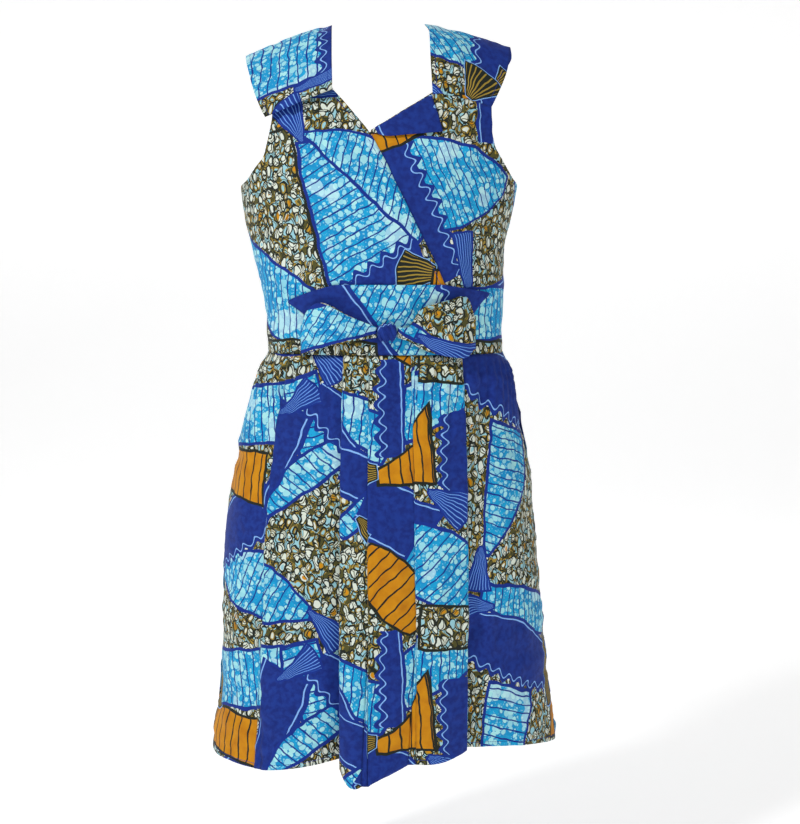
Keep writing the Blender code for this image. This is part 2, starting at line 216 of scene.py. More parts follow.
Pleat = namedtuple("Pleat", "waist_x hem_x faces under_waist under_hem")
PLEATS = as_rows(Pleat, [
    (-112, -149, -1, 16, -10),
    (-44, -50, -1, 27, 12),
    (-12, -14, -1, 18, -8),
    (40, 46, -1, 22, -10),
    (101, 113, 1, 27, 12),
])
# print_shift is how much cloth lies hidden in the pleats between a stretch and the middle of
# the skirt, as far as the print is concerned.
Span = namedtuple(
    "Span",
    "waist_start waist_end hem_start hem_mid hem_end drop_start drop_mid drop_end print_shift",
)
SPANS = as_rows(Span, [
    (0, -2.5, 0, 4, 1, 0, 3, 7, -90),
    (2.5, -2.5, 4, -2, -28, 7, 0, -12, -45),
    (2.5, -2.5, 2, 19, 18, 0, 16, 15, -10),
    (2.5, -2.5, 19, 8, -4, 15, 3, -6, 20),
    (2.5, 2.5, -2, -3, -13, -6, -8, -18, 50),
    (-2.5, 0, -28, -20, 0, -19, -12, 0, 95),
])
FLARE = 1.25  # how late the folds open on the way down to the hem: 1 is evenly

# A fold's angle and width are in degrees.
Fold = namedtuple("Fold", "angle width push")
RIGHT_BACK_FOLDS = [Fold(9, 9, 7), Fold(27, 8, -8), Fold(44, 10, 9), Fold(66, 9, -6)]
LEFT_BACK_FOLDS = [Fold(12, 8, -7), Fold(30, 10, 9), Fold(51, 8, -7), Fold(70, 9, 6)]

# ---- creases ----

# A crease runs from one point of the cloth to another, as wide as it says on each side of its
# line. Its push is how far it stands out, or in where it is negative.
Crease = namedtuple("Crease", "start_x start_z end_x end_z width push")
FRONT_CREASES = as_rows(Crease, [
    (-120, -92, -102, -205, 7, 2.2),
    (-106, -90, -66, -188, 6, 1.6),
    (-112, -92, -86, -170, 4, -1.6),
    (-128, -98, -140, -190, 6, 1.5),
    (-90, -88, -44, -150, 5, 1.3),
    (108, -92, 122, -196, 7, 2.0),
    (96, -90, 84, -180, 5, 1.5),
    (102, -92, 104, -165, 4, -1.6),
    (88, -90, 40, -160, 6, 1.6),
    (118, -96, 148, -178, 5, 1.3),
    (-150, -232, -60, -262, 11, 1.6),
    (-160, -262, -96, -300, 8, -1.4),
    (-118, -236, -20, -316, 10, 1.7),
    (-62, -232, 18, -312, 8, -1.3),
    (-152, -300, -98, -326, 7, 1.7),
    (-156, -338, -104, -350, 6, 1.5),
    (-152, -366, -100, -364, 5, -1.3),
    (-150, -388, -98, -380, 6, 1.5),
    (160, -226, 92, -252, 9, 1.6),
    (158, -262, 104, -300, 8, -1.5),
    (154, -296, 112, -322, 7, 1.8),
    (152, -340, 118, -344, 5, 1.3),
    (154, -364, 120, -372, 6, -1.2),
    (150, -392, 118, -384, 5, 1.4),
    (36, -176, 92, -262, 9, 1.4),
])
BACK_CREASES = as_rows(Crease, [
    (-120, -100, -96, -190, 8, 1.8),
    (118, -98, 104, -200, 7, 1.7),
    (-158, -222, -70, -250, 10, 1.8),
    (150, -238, 52, -262, 11, 1.7),
    (-150, -276, -40, -304, 9, -1.6),
    (156, -292, 64, -300, 8, 1.6),
    (-148, -322, -58, -334, 7, 1.9),
    (150, -336, 30, -346, 8, -1.5),
    (-150, -360, -20, -362, 6, 1.5),
    (146, -374, 44, -368, 6, 1.8),
    (-140, -392, -66, -386, 5, -1.3),
    (-44, -176, -24, -300, 12, 1.2),
    (52, -190, 36, -290, 12, -1.2),
])
# Folds of the skirt on the way down, on top of the CAD model's own.
SKIRT_FRONT_CREASES = as_rows(Crease, [
    (-150, -420, -178, -700, 11, 2.2),
    (-134, -418, -150, -560, 6, -1.6),
    (-92, -416, -104, -640, 9, 2.4),
    (-76, -416, -82, -520, 5, -1.8),
    (-64, -416, -70, -760, 8, 1.8),
    (-30, -416, -34, -540, 5, 1.4),
    (8, -416, 6, -600, 7, 1.9),
    (24, -416, 26, -520, 5, -1.6),
    (58, -416, 62, -640, 8, 2.3),
    (74, -416, 80, -540, 5, -1.8),
    (86, -416, 94, -720, 7, 1.7),
    (118, -418, 130, -600, 8, 2.1),
    (134, -420, 156, -720, 9, -1.8),
    (150, -424, 186, -640, 10, 1.9),
    (-120, -640, -138, -930, 14, 2.2),
    (-84, -700, -96, -930, 12, -2.0),
    (30, -660, 34, -930, 11, 2.0),
    (78, -640, 84, -930, 13, 2.4),
    (150, -680, 168, -930, 14, 2.3),
    (-186, -620, -206, -930, 12, -1.6),
    (-60, -610, 20, -640, 8, 0.9),
    (60, -720, 150, -742, 9, 0.9),
    (-180, -560, -120, -574, 8, 0.8),
    (120, -520, 190, -508, 8, 0.8),
])
SKIRT_BACK_CREASES = as_rows(Crease, [
    (-146, -420, -172, -690, 10, 2.0),
    (-118, -418, -130, -600, 7, -1.8),
    (-92, -416, -102, -760, 9, 2.2),
    (-64, -416, -70, -560, 6, -1.7),
    (-38, -416, -44, -700, 8, 2.0),
    (-16, -416, -18, -540, 5, 1.5),
    (20, -416, 22, -620, 7, 1.9),
    (44, -416, 50, -540, 5, -1.6),
    (66, -416, 74, -740, 9, 2.2),
    (96, -417, 108, -580, 6, -1.7),
    (116, -418, 134, -680, 8, 2.0),
    (146, -420, 176, -760, 11, 2.1),
    (-60, -640, -66, -930, 13, -2.0),
    (96, -660, 108, -930, 14, 2.0),
    (-150, -660, -170, -930, 13, 2.0),
    (-40, -600, 90, -622, 9, 0.9),
])
SKIRT_CREASE_SHARE = 1.3  # how much stronger the skirt's creases are than their rows say
GATHER_PITCH = 0.0135  # between the gathers below the waist seam
GATHER_PUSH = 0.0019
GATHER_LENGTH = 0.095
CREASE_BOW = 0.04  # how far a crease bows out, over its length
CREASE_STARTS = 0.12  # share of its length over which it rises
CREASE_FADES = 0.55  # and over which it dies away
BROAD_WAVES = 14
BROAD_PUSH = 0.0013
FINE_CREASES = 26
FINE_WIDTH = 0.30  # of a fine crease, as a share of its wave
BODICE_FINE_PUSH = 0.0006
SKIRT_FINE_PUSH = 0.0011


def curve(knots, values, at):
    """A smooth curve through the rows of a table, read at many places at once."""
    knots = np.asarray(knots, float)
    values = np.asarray(values, float)
    slopes = np.empty_like(values)
    slopes[0] = (values[1] - values[0]) / (knots[1] - knots[0])
    slopes[-1] = (values[-1] - values[-2]) / (knots[-1] - knots[-2])
    slopes[1:-1] = (values[2:] - values[:-2]) / (knots[2:] - knots[:-2])[:, None]
    at = np.asarray(at, float)
    low = np.clip(np.searchsorted(knots, at, side="right") - 1, 0, len(knots) - 2)
    step = knots[low + 1] - knots[low]
    t = ((at - knots[low]) / step)[..., None]
    step = step[..., None]
    start, end = values[low], values[low + 1]
    hermite = (2 * t**3 - 3 * t**2 + 1) * start + (3 * t**2 - 2 * t**3) * end
    return hermite + step * ((t**3 - 2 * t**2 + t) * slopes[low] + (t**3 - t**2) * slopes[low + 1])


def section_at(table, height):
    """Half width, front depth, back depth and middle of the form at many heights."""
    known = np.array(sorted(table), float) * MM
    found = curve(known[:, 0], known[:, 1:], height)
    return [found[..., i] for i in range(4)]


def power(value, exponent):
    return np.sign(value) * np.abs(value) ** exponent


def on_form(table, angle, height, lift):
    """Points of the form at angles from the centre front, towards +X, moved out by lift."""
    half_width, front, back, middle = section_at(table, height)
    across, along = np.sin(angle), np.cos(angle)
    depth = np.where(along >= 0, front, back)
    x = middle + half_width * power(across, 2 / ROUNDNESS)
    y = -depth * power(along, 2 / ROUNDNESS)
    share = 2 - 2 / ROUNDNESS
    out_x, out_y = power(across, share) / half_width, -power(along, share) / depth
    length = np.hypot(out_x, out_y)
    return np.stack([x + out_x / length * lift, y + out_y / length * lift, height], axis=-1)


def front_angle(table, x, height):
    half_width, _, _, middle = section_at(table, height)
    share = np.clip((x - middle) / half_width, -1, 1)
    return np.arcsin(power(share, ROUNDNESS / 2))


def seam_angle(table, height, back=False):
    depth = section_at(table, height)[2 if back else 1]
    off = np.arcsin((SEAM / 2 / depth) ** (ROUNDNESS / 2))
    return math.pi / 2 + (off if back else -off)


def blend(a, b, t):
    return a + (b - a) * t


def smooth(t):
    t = np.clip(t, 0, 1)
    return t * t * (3 - 2 * t)


def through(start, middle, end, t):
    return start * (1 - t) * (1 - 2 * t) + 4 * middle * t * (1 - t) + end * t * (2 * t - 1)


def arc_table(steps=720):
    """Length of cloth from the centre front to each angle, for a section of half width 1."""
    angle = np.linspace(0, math.pi / 2, steps)
    x = power(np.sin(angle), 2 / ROUNDNESS)
    y = DEPTH_TO_WIDTH * power(np.cos(angle), 2 / ROUNDNESS)
    return angle, np.concatenate([[0], np.cumsum(np.hypot(np.diff(x), np.diff(y)))])


ARC_ANGLE, ARC_LENGTH = arc_table()


def cloth_across(table, angle, height):
    """Cloth between the centre front, or the centre back, and a point of the form."""
    half_width, _, _, middle = section_at(table, height)
    from_centre = np.minimum(np.abs(angle), math.pi - np.abs(angle))
    sign = np.sign(angle)
    return middle + sign * half_width * np.interp(from_centre, ARC_ANGLE, ARC_LENGTH)


def creased(table, x, z):
    """How far the creases of a table push the cloth out at each point."""
    total = np.zeros_like(x)
    for c in table:
        start = np.array([c.start_x, c.start_z]) * MM
        line = np.array([c.end_x, c.end_z]) * MM - start
        length = np.hypot(*line)
        along = ((x - start[0]) * line[0] + (z - start[1]) * line[1]) / length**2
        bow = CREASE_BOW * length * np.sin(math.pi * np.clip(along, 0, 1))
        off = ((x - start[0]) * line[1] - (z - start[1]) * line[0]) / length - bow
        width = c.width * MM * (0.75 + 0.5 * np.clip(along, 0, 1))
        taper = smooth(along / CREASE_STARTS) * smooth((1 - along) / CREASE_FADES)
        total += c.push * MM * taper * np.exp(-((off / width) ** 2))
    return total


def rumple(x, z, seed, fine_push=BODICE_FINE_PUSH):
    """The small unevenness of cotton that has been worn, about a millimetre: soft waves, and
    short fine creases that come and go."""
    rng = np.random.default_rng(seed)
    total = np.zeros_like(x)
    for _ in range(BROAD_WAVES):
        turn = rng.uniform(0, 2 * math.pi)
        waves = rng.uniform(45, 190)
        phase = rng.uniform(0, 2 * math.pi)
        total += np.sin((x * math.cos(turn) + z * math.sin(turn)) * waves + phase) * (9 / waves)
    fine = np.zeros_like(x)
    for _ in range(FINE_CREASES):
        turn = rng.uniform(0, math.pi)
        waves = rng.uniform(32, 80)
        phase = rng.uniform(0, 2 * math.pi, 3)
        run = x * math.cos(turn) + z * math.sin(turn)
        aside = z * math.cos(turn) - x * math.sin(turn)
        bent = run * waves + phase[0] + 0.5 * np.sin(aside * 30 + phase[1])
        ridge = np.exp(-((np.sin(bent) / FINE_WIDTH) ** 2))
        shown = smooth(1.6 * np.sin(aside * 34 + run * 19 + phase[2]) - 0.5)
        fine += rng.choice([-1, 1]) * ridge * shown
    return total * BROAD_PUSH + fine * fine_push


def bodice_creases(x, z, back=False):
    table = BACK_CREASES if back else FRONT_CREASES
    fade = smooth((z - WAIST) / 0.012)
    return (creased(table, x, z) + rumple(x, z, 7 if back else 3)) * fade


def skirt_creases(u, x, z, back=False):
    table = SKIRT_BACK_CREASES if back else SKIRT_FRONT_CREASES
    down = np.clip((WAIST - z) / GATHER_LENGTH, 0, None)
    uneven = 1 + 0.35 * np.sin(u * 37) + 0.3 * np.sin(u * 91 + 1)
    gathers = np.sin(2 * math.pi * u / GATHER_PITCH + 2.2 * np.sin(u * 29))
    gathers = gathers * GATHER_PUSH * uneven * np.exp(-((down / 0.8) ** 2)) * smooth(down * 6)
    small = rumple(x, z, 11 if back else 5, SKIRT_FINE_PUSH)
    total = SKIRT_CREASE_SHARE * creased(table, x, z) + gathers + small
    return total * smooth(down * 5)


# ---- making a piece ----

MATERIALS = {}


def add_object(name, data):
    made = bpy.data.objects.new(name, data)
    bpy.context.scene.collection.objects.link(made)
    return made


def make_object(name, vertices, faces, places, from_edge, print_name):
    """A mesh in the wax print, standing for the CAD node of that name. places are where its
    vertices lie on the flat cloth, and from_edge how far they are from a stitched edge."""
    mesh = bpy.data.meshes.new(name + "_cloth")
    mesh.from_pydata(vertices.tolist(), [], faces)
    layer = mesh.uv_layers.new(name="cloth")
    corner = np.zeros(len(mesh.loops), np.int32)
    mesh.loops.foreach_get("vertex_index", corner)
    layer.data.foreach_set("uv", places[corner].astype(np.float32).ravel())
    attribute = mesh.attributes.new("from_edge", "FLOAT", "POINT")
    attribute.data.foreach_set("value", from_edge.astype(np.float32))
    mesh.materials.append(MATERIALS[print_name])
    mesh.shade_smooth()
    piece = add_object(name + "_cloth", mesh)
    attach(piece, "root")
    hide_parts(name)
    return piece


def cloth_piece(name, points, across, down, print_name, edge=None):
    """A grid of points becomes one piece of cloth. across and down are the places on the flat
    cloth, edge the distance to a stitched edge."""
    height, width = points.shape[:2]
    index = np.arange(height * width).reshape(height, width)
    corners = [index[:-1, :-1], index[:-1, 1:], index[1:, 1:], index[1:, :-1]]
    faces = np.stack(corners, axis=-1).reshape(-1, 4).tolist()
    places = np.stack([across, down], axis=-1).reshape(-1, 2)
    from_edge = np.full(height * width, 1.0) if edge is None else edge.reshape(-1)
    piece = make_object(name, points.reshape(-1, 3), faces, places, from_edge, print_name)
    solid = piece.modifiers.new("wall", "SOLIDIFY")
    solid.thickness = CLOTH
    solid.offset = 0


# ---- the bodice ----


def panel_angle(x, z, side, back):
    """Angle of a point of a bodice panel, x from the middle of the dress."""
    angle = front_angle(BODICE, side * x * MM, z)
    return side * math.pi - angle if back else angle


def panel_grid(table, side, back):
    """Angles and heights of a bodice panel, from its armhole or side seam to its inner edge."""
    ends = []
    for row in table:
        outer_z, inner_z = row.outer_z * MM, row.inner_z * MM
        if row.outer_x == SIDE:
            outer = side * seam_angle(BODICE, outer_z, back)
        else:
            outer = panel_angle(row.outer_x, outer_z, side, back)
        ends.append([outer, outer_z, panel_angle(row.inner_x, inner_z, side, back), inner_z])
    ends = np.array(ends)
    steps = np.linspace(0, len(ends) - 1, round(BODICE_LENGTH / QUAD))
    outer, outer_z, inner, inner_z = curve(np.arange(len(ends)), ends, steps).T
    limit = seam_angle(BODICE, outer_z, back)
    outer = side * (np.maximum(np.abs(outer), limit) if back else np.minimum(np.abs(outer), limit))
    t = np.linspace(0, 1, round(HALF_PANEL_WIDTH / QUAD))[None, :]
    angle = blend(outer[:, None], inner[:, None], t)
    height = blend(outer_z[:, None], inner_z[:, None], t)
    return angle, height


def left_front_lift(x):
    return -LAYER * (1 - smooth((x - LEFT_FRONT_RISES) / LEFT_FRONT_RISE))


def edge_distance(points, rows=(), columns=()):
    """Distance along the cloth to the nearest of the named first or last rows and columns."""
    down = np.cumsum(np.linalg.norm(np.diff(points, axis=0, prepend=points[:1]), axis=-1), axis=0)
    over = np.linalg.norm(np.diff(points, axis=1, prepend=points[:, :1]), axis=-1)
    over = np.cumsum(over, axis=1)
    distances = [down if end == "first" else down[-1:] - down for end in rows]
    distances += [over if end == "first" else over[:, -1:] - over for end in columns]
    return np.minimum.reduce(distances)


def make_bodice():
    for name, side, table, place, flat, area in (
        ("right_front", -1, RIGHT_FRONT, 0, (0.37, 0.33), 0.083),
        ("left_front", 1, LEFT_FRONT, LEFT_FRONT_ON_CHART, (0.37, 0.33), 0.083),
        ("right_back", -1, BACK_HALF, BACK_ON_CHART, (0.24, 0.32), 0.061),
        ("left_back", 1, BACK_HALF, BACK_ON_CHART, (0.24, 0.32), 0.061),
    ):
        back = table is BACK_HALF
        angle, height = panel_grid(table, side, back)
        x = on_form(BODICE, angle, height, 0)[..., 0]
        lift = left_front_lift(x) if table is LEFT_FRONT else 0
        points = on_form(BODICE, angle, height, lift + bodice_creases(x, height, back))
        across = cloth_across(BODICE, angle, height) * (-1 if back else 1) + place
        edge = None if back else edge_distance(points, columns=["last"])
        cloth_piece(name, points, across, height, "bodice", edge)


# ---- the straps ----

# Where a pucker is, and its width, are shares of the width of its strap.
Pucker = namedtuple("Pucker", "where width push")
RIGHT_PUCKERS = as_rows(Pucker, [
    (0.30, 0.05, 2.6),
    (0.44, 0.04, -2.4),
    (0.58, 0.06, 2.6),
    (0.76, 0.05, -1.8),
])
LEFT_PUCKERS = as_rows(Pucker, [
    (0.14, 0.05, 2.6),
    (0.26, 0.04, -2.6),
    (0.38, 0.05, 3.0),
    (0.52, 0.05, -2.4),
    (0.66, 0.06, 2.4),
    (0.82, 0.06, -1.6),
])
STRAP_COLUMNS = 44  # points across a strap
SHOULDER_CORE = 0.09  # the straps face away from a line this far below the origin


def joining_row(panel_row, side, lift, back, gap, t):
    """A strap's end, on the form just above a bodice panel's top row."""
    outer_z, inner_z = panel_row.outer_z * MM + gap, panel_row.inner_z * MM + gap
    outer = panel_angle(panel_row.outer_x, outer_z, side, back)
    inner = panel_angle(panel_row.inner_x, inner_z, side, back)
    return on_form(BODICE, blend(inner, outer, t), blend(inner_z, outer_z, t), lift)


def make_straps():
    t = np.linspace(0, 1, STRAP_COLUMNS)
    for name, side, front, panel, lift, gap, puckers, on_chart, flat, area in (
        ("right_strap", -1, RIGHT_STRAP_FRONT, RIGHT_FRONT, 0.0, CLOTH / 2 + STRAP_SEAM,
         RIGHT_PUCKERS, 0.118, (0.12, 0.29), 0.0296),
        ("left_strap", 1, LEFT_STRAP_FRONT, LEFT_FRONT, -LAYER - TUCK_BEHIND, -TUCK_DOWN,
         LEFT_PUCKERS, 0.092, (0.11, 0.26), 0.0257),
    ):
        lines = [joining_row(BACK_HALF[0], side, -TUCK_BEHIND, True, -TUCK_DOWN, t)]
        for row in STRAP_BEHIND + front:
            neck = np.array([side * row.neck_x, row.neck_y, row.neck_z]) * MM
            end = np.array([side * row.end_x, row.end_y, row.end_z]) * MM
            lines.append(blend(neck[None, :], end[None, :], t[:, None]))
        lines.append(joining_row(panel[0], side, lift, False, gap, t))
        lines = np.array(lines)
        spans = np.linalg.norm(np.diff(lines[:, STRAP_COLUMNS // 2], axis=0), axis=-1)
        steps = np.concatenate([[0], np.cumsum(spans)])
        fine = np.linspace(0, steps[-1], round(steps[-1] / (QUAD * 0.8)))
        shape = curve(steps, lines.reshape(len(lines), -1), fine).reshape(len(fine), len(t), 3)
        outward = shape * np.array([0, 1, 1]) + np.array([0, 0, SHOULDER_CORE])
        outward /= np.linalg.norm(outward, axis=-1, keepdims=True)
        left = (steps[-1] - fine)[:, None]
        ends = smooth(fine / 0.02)[:, None] * smooth(left / 0.02)
        crown = STRAP_CROWN * np.sin(math.pi * t)[None, :] * ends
        reach = np.exp(-((left / 0.055) ** 2)) + 0.7 * np.exp(-((fine[:, None] / 0.06) ** 2))
        gathers = sum(p.push * MM * np.exp(-(((t - p.where) / p.width) ** 2)) for p in puckers)
        gathers = gathers[None, :]
        lip = smooth(left / 0.012)
        small = rumple(shape[..., 0], fine[:, None] + 0 * t[None, :], 17 + side) * ends
        shape = shape + outward * (crown + gathers * reach * ends * lip + small)[..., None]
        across = shape[..., 0]
        down = (left - on_chart) + 0 * t[None, :]
        edge = edge_distance(shape, columns=["first", "last"])
        cloth_piece(name, shape, across, down, "bodice", edge)


# ---- neckline fold, midriff and bow ----


def on_front(x, height, lift):
    return on_form(BODICE, front_angle(BODICE, x, height), height, lift)


def finer(table, count):
    """That many rows, in metres, on a smooth curve through a table's."""
    return curve(np.arange(len(table)), np.array(table) * MM, np.linspace(0, len(table) - 1, count))


def make_neckline_fold():
    lines = finer(NECKLINE_FOLD, 40)
    t = np.linspace(0, 1, 18)[None, :]
    x = blend(lines[:, :1], lines[:, 2:3], t)
    z = blend(lines[:, 1:2], lines[:, 3:], t)
    curl = 0.0016 * t**2 + 0.0011 * np.sin(math.pi * t) * smooth((x + 0.01) / 0.03)
    points = on_front(x, z, left_front_lift(x) + LAYER + bodice_creases(x, z) + curl)
    chart_x, chart_z = NECKLINE_FOLD_ON_CHART
    cloth_piece("neckline_fold", points, x + chart_x, z + chart_z, "bodice")


RADIATING = as_rows(Fold, [
    (-158, 7, 1.5),
    (-172, 5, -1.0),
    (-184, 6, 1.2),
    (162, 6, 1.6),
    (148, 5, -1.0),
    (128, 7, 1.4),
    (104, 6, 0.9),
    (78, 6, 1.1),
    (52, 7, 1.5),
    (36, 5, -1.0),
    (22, 6, 1.5),
    (8, 5, 1.1),
    (-8, 6, 1.2),
])


def radiating(x, z):
    """Small folds that run out from the knot, each at its angle in degrees."""
    dx, dz = x - KNOT.x * MM, z - KNOT.z * MM
    distance = np.hypot(dx, dz)
    angle = np.degrees(np.arctan2(dz, dx))
    total = np.zeros_like(x)
    for fold in RADIATING:
        off = (angle - fold.angle + 180) % 360 - 180
        total += fold.push * MM * np.exp(-((off / fold.width) ** 2))
    return total * smooth((distance - 0.008) / 0.02) * smooth((0.11 - distance) / 0.08)


def make_midriff():
    lines = finer(MIDRIFF, 36)
    t = np.linspace(0, 1, 66)[None, :]
    z = lines[:, :1] + 0 * t
    x = blend(lines[:, 1:2], lines[:, 2:3], t)
    lift = LAYER + bodice_creases(x, z) + radiating(x, z) * smooth((z - WAIST) / 0.01) * 0.8 + 0.0004
    points = on_front(x, z, lift)
    cloth_piece("midriff_panel", points, x, z, "bow")


def make_loop(name, table):
    """A strip that leaves the knot, turns back at its outer end and returns behind itself."""
    end = table[-1]
    reach = 2.5 if end.x > 0 else -2.5
    turn = LoopRow(end.x + reach, end.top, end.low, (end.lift + LOOP_BACK) / 2)
    behind = [r._replace(lift=LOOP_BACK, low=max(r.low, LOOP_BACK_LOW)) for r in reversed(table)]
    path = np.array(list(table) + [turn] + behind, float)
    steps = np.linspace(0, len(path) - 1, 110)
    x, top, low, lift = (curve(np.arange(len(path)), path, steps) * MM).T
    t = np.linspace(0, 1, 26)[None, :]
    front = smooth((len(table) - steps) / 1.5)[:, None]
    out = np.clip(np.abs(x - KNOT.x * MM) / 0.1, 0, 1)[:, None]
    pleats = 0.0021 * np.cos(2 * math.pi * (2.6 * t + 0.15 * (1 if end.x > 0 else 2)))
    pleats = pleats + 0.0010 * np.cos(2 * math.pi * (5.3 * t + 0.4))
    pleats = pleats * (1 - 0.75 * smooth(out)) * front * smooth(steps / 1.2)[:, None]
    belly = 1 + 0.15 * np.sin(math.pi * t) * front
    z = blend(top[:, None], low[:, None], t)
    x = x[:, None] + 0 * t
    points = on_front(x, z, lift[:, None] * belly + pleats)
    walked = np.concatenate([[0], np.cumsum(np.abs(np.diff(x[:, 0])))])[:, None]
    across = x[:1] + math.copysign(1, end.x) * walked + 0 * t
    cloth_piece(name, points, across, z + LOOPS_ON_CHART, "bow")


def make_knot():
    """The knot: a narrow band drawn round the bow, with the grooves of its gathers."""
    sides, rings = 96, 64
    centre = on_front(np.array(KNOT.x * MM), np.array(KNOT.z * MM), KNOT.lift * MM)
    along = np.linspace(0.04, math.pi - 0.04, rings)[:, None]
    turn = np.linspace(0, 2 * math.pi, sides, endpoint=False)[None, :]
    size = power(np.sin(along), 0.72)
    x = -KNOT.half_width * power(np.cos(along), 0.8) + 0 * turn
    slant = x + 5.5 * np.sin(turn) + 1.5 * np.cos(turn)
    groove = 1 + 0.12 * np.sin(slant * 0.85 + 0.4) + 0.045 * np.sin(slant * 2.0 + 1.3)
    pinch = 1 + 0.06 * np.abs(x / KNOT.half_width) ** 2
    y = KNOT.depth * size * power(np.cos(turn), 0.85) * groove * pinch
    z = KNOT.half_height * size * power(np.sin(turn), 0.85) * groove * pinch
    points = centre + np.stack([x, y, z], axis=-1) * MM
    caps = [centre + np.array([s * KNOT.half_width * MM * 0.99, 0, 0]) for s in (-1, 1)]
    index = np.arange(rings * sides).reshape(rings, sides)
    after = np.roll(index, -1, axis=1)
    quads = np.stack([index[:-1], after[:-1], after[1:], index[1:]], axis=-1).reshape(-1, 4).tolist()
    first, last = rings * sides, rings * sides + 1
    fans = [(first, after[0, i], index[0, i]) for i in range(sides)]
    fans += [(last, index[-1, i], after[-1, i]) for i in range(sides)]
    every = np.concatenate([points.reshape(-1, 3), caps])
    chart_x, chart_z = KNOT_ON_CHART
    places = np.stack([every[:, 0] + chart_x, every[:, 2] + every[:, 1] + chart_z], axis=-1)
    knot = make_object("bow_knot", every, quads + fans, places, np.ones(len(every)), "bow")


# ---- the skirt ----

PLEAT_TURN = 0.0016  # how far the cloth bulges where it turns back in a pleat


def skirt_turn(end_a, end_b, under):
    """Between two stretches of a pleat: the cloth turns back, runs behind, and turns again."""
    bulge = PLEAT_TURN * smooth(under / 0.006)
    lag = [(t, end_a + bulge * np.sin(math.pi * t / 0.4)) for t in (0.1, 0.2, 0.3, 0.4)]
    lag.append((0.5, (end_a + end_b) / 2))
    lag += [(t, end_b - bulge * np.sin(math.pi * (t - 0.6) / 0.4)) for t in (0.6, 0.7, 0.8, 0.9)]
    return lag


def make_skirt_front():
    v = np.linspace(0, 1, round(SKIRT_LENGTH / QUAD))
    height = blend(WAIST - SEAM, HEM, v)
    flare = v**FLARE
    edges = [blend(p.hem_x, p.waist_x, (1 - v) ** 3) * MM for p in PLEATS]
    unders = [blend(p.under_waist, p.under_hem, v) * MM for p in PLEATS]
    angles, heights, lifts, shifts = [], [], [], []

    def dropped(drop):
        return height - drop * MM * v * v

    def place(angle, z, off, shift):
        angles.append(angle)
        heights.append(z)
        lifts.append(off)
        shifts.append(shift + 0 * z)

    for number, span in enumerate(SPANS):
        starts_on_top = number > 0 and PLEATS[number - 1].faces < 0
        ends_on_top = number < len(PLEATS) and PLEATS[number].faces > 0
        first_z = dropped(span.drop_start)
        last_z = dropped(span.drop_end)
        if number == 0:
            first = -seam_angle(SKIRT, first_z)
        else:
            under = 0 if starts_on_top else -unders[number - 1]
            first = front_angle(SKIRT, edges[number - 1] + under, first_z)
        if number == len(PLEATS):
            last = seam_angle(SKIRT, last_z)
        else:
            under = 0 if ends_on_top else unders[number]
            last = front_angle(SKIRT, edges[number] + under, last_z)
        wide = np.abs(cloth_across(SKIRT, last, height) - cloth_across(SKIRT, first, height))
        columns = max(6, round(wide[len(v) // 2] / QUAD))
        for step in range(columns + 1):
            t = step / columns
            z = dropped(through(span.drop_start, span.drop_mid, span.drop_end, t))
            waist_off = blend(span.waist_start, span.waist_end, t)
            hem_off = through(span.hem_start, span.hem_mid, span.hem_end, t)
            off = blend(waist_off, hem_off, flare) * MM
            place(blend(first, last, t), z, off, span.print_shift)
        if number < len(PLEATS):
            after = SPANS[number + 1]
            off_a = blend(span.waist_end, span.hem_end, flare) * MM
            off_b = blend(after.waist_start, after.hem_start, flare) * MM
            end_a = edges[number] + (0 if ends_on_top else unders[number])
            end_b = edges[number] - (unders[number] if ends_on_top else 0)
            for t, x in skirt_turn(end_a, end_b, unders[number]):
                z = dropped(blend(span.drop_end, after.drop_start, t))
                shift = blend(span.print_shift, after.print_shift, t)
                place(front_angle(SKIRT, x, z), z, blend(off_a, off_b, t), shift)
    angle, z, lift = np.array(angles).T, np.array(heights).T, np.array(lifts).T
    across = cloth_across(SKIRT, angle, z) + np.array(shifts).T * MM
    x = on_form(SKIRT, angle, z, 0)[..., 0]
    lift = lift + skirt_creases(cloth_across(SKIRT, angle, z), x, z)
    points = on_form(SKIRT, angle, z, lift)
    edge = edge_distance(points, rows=["last"])
    cloth_piece("skirt_front", points, across, z, "skirt", edge)


def make_skirt_back(name, side, folds):
    """Half of the skirt back, from its side seam to the centre back, in soft folds."""
    v = np.linspace(0, 1, round(SKIRT_LENGTH / QUAD))[:, None]
    height = blend(WAIST - SEAM, HEM, v)
    gap = np.arcsin((SEAM / 2 / section_at(SKIRT, height)[0]) ** (ROUNDNESS / 2))
    t = np.linspace(0, 1, round(HALF_PANEL_WIDTH / QUAD))[None, :]
    angle = blend(seam_angle(SKIRT, height, back=True), math.pi - gap, t)
    z = height + 0 * t
    from_centre = 180 - np.degrees(angle)
    push = sum(f.push * np.exp(-(((from_centre - f.angle) / f.width) ** 2)) for f in folds)
    fade = smooth(np.minimum(t, 1 - t) * 7)
    x = on_form(SKIRT, side * angle, z, 0)[..., 0]
    across = cloth_across(SKIRT, side * angle, z)
    lift = push * MM * fade * v**FLARE + skirt_creases(across, x, z, back=True)
    points = on_form(SKIRT, side * angle, z, lift)
    edge = edge_distance(points, rows=["last"])
    cloth_piece(name, points, SKIRT_BACK_ON_CHART - across, z, "skirt", edge)


# ---- the print ----

RINGS, LEAF, NAVY, ORANGE, BLUE_FAN, BLACK_FAN = range(6)
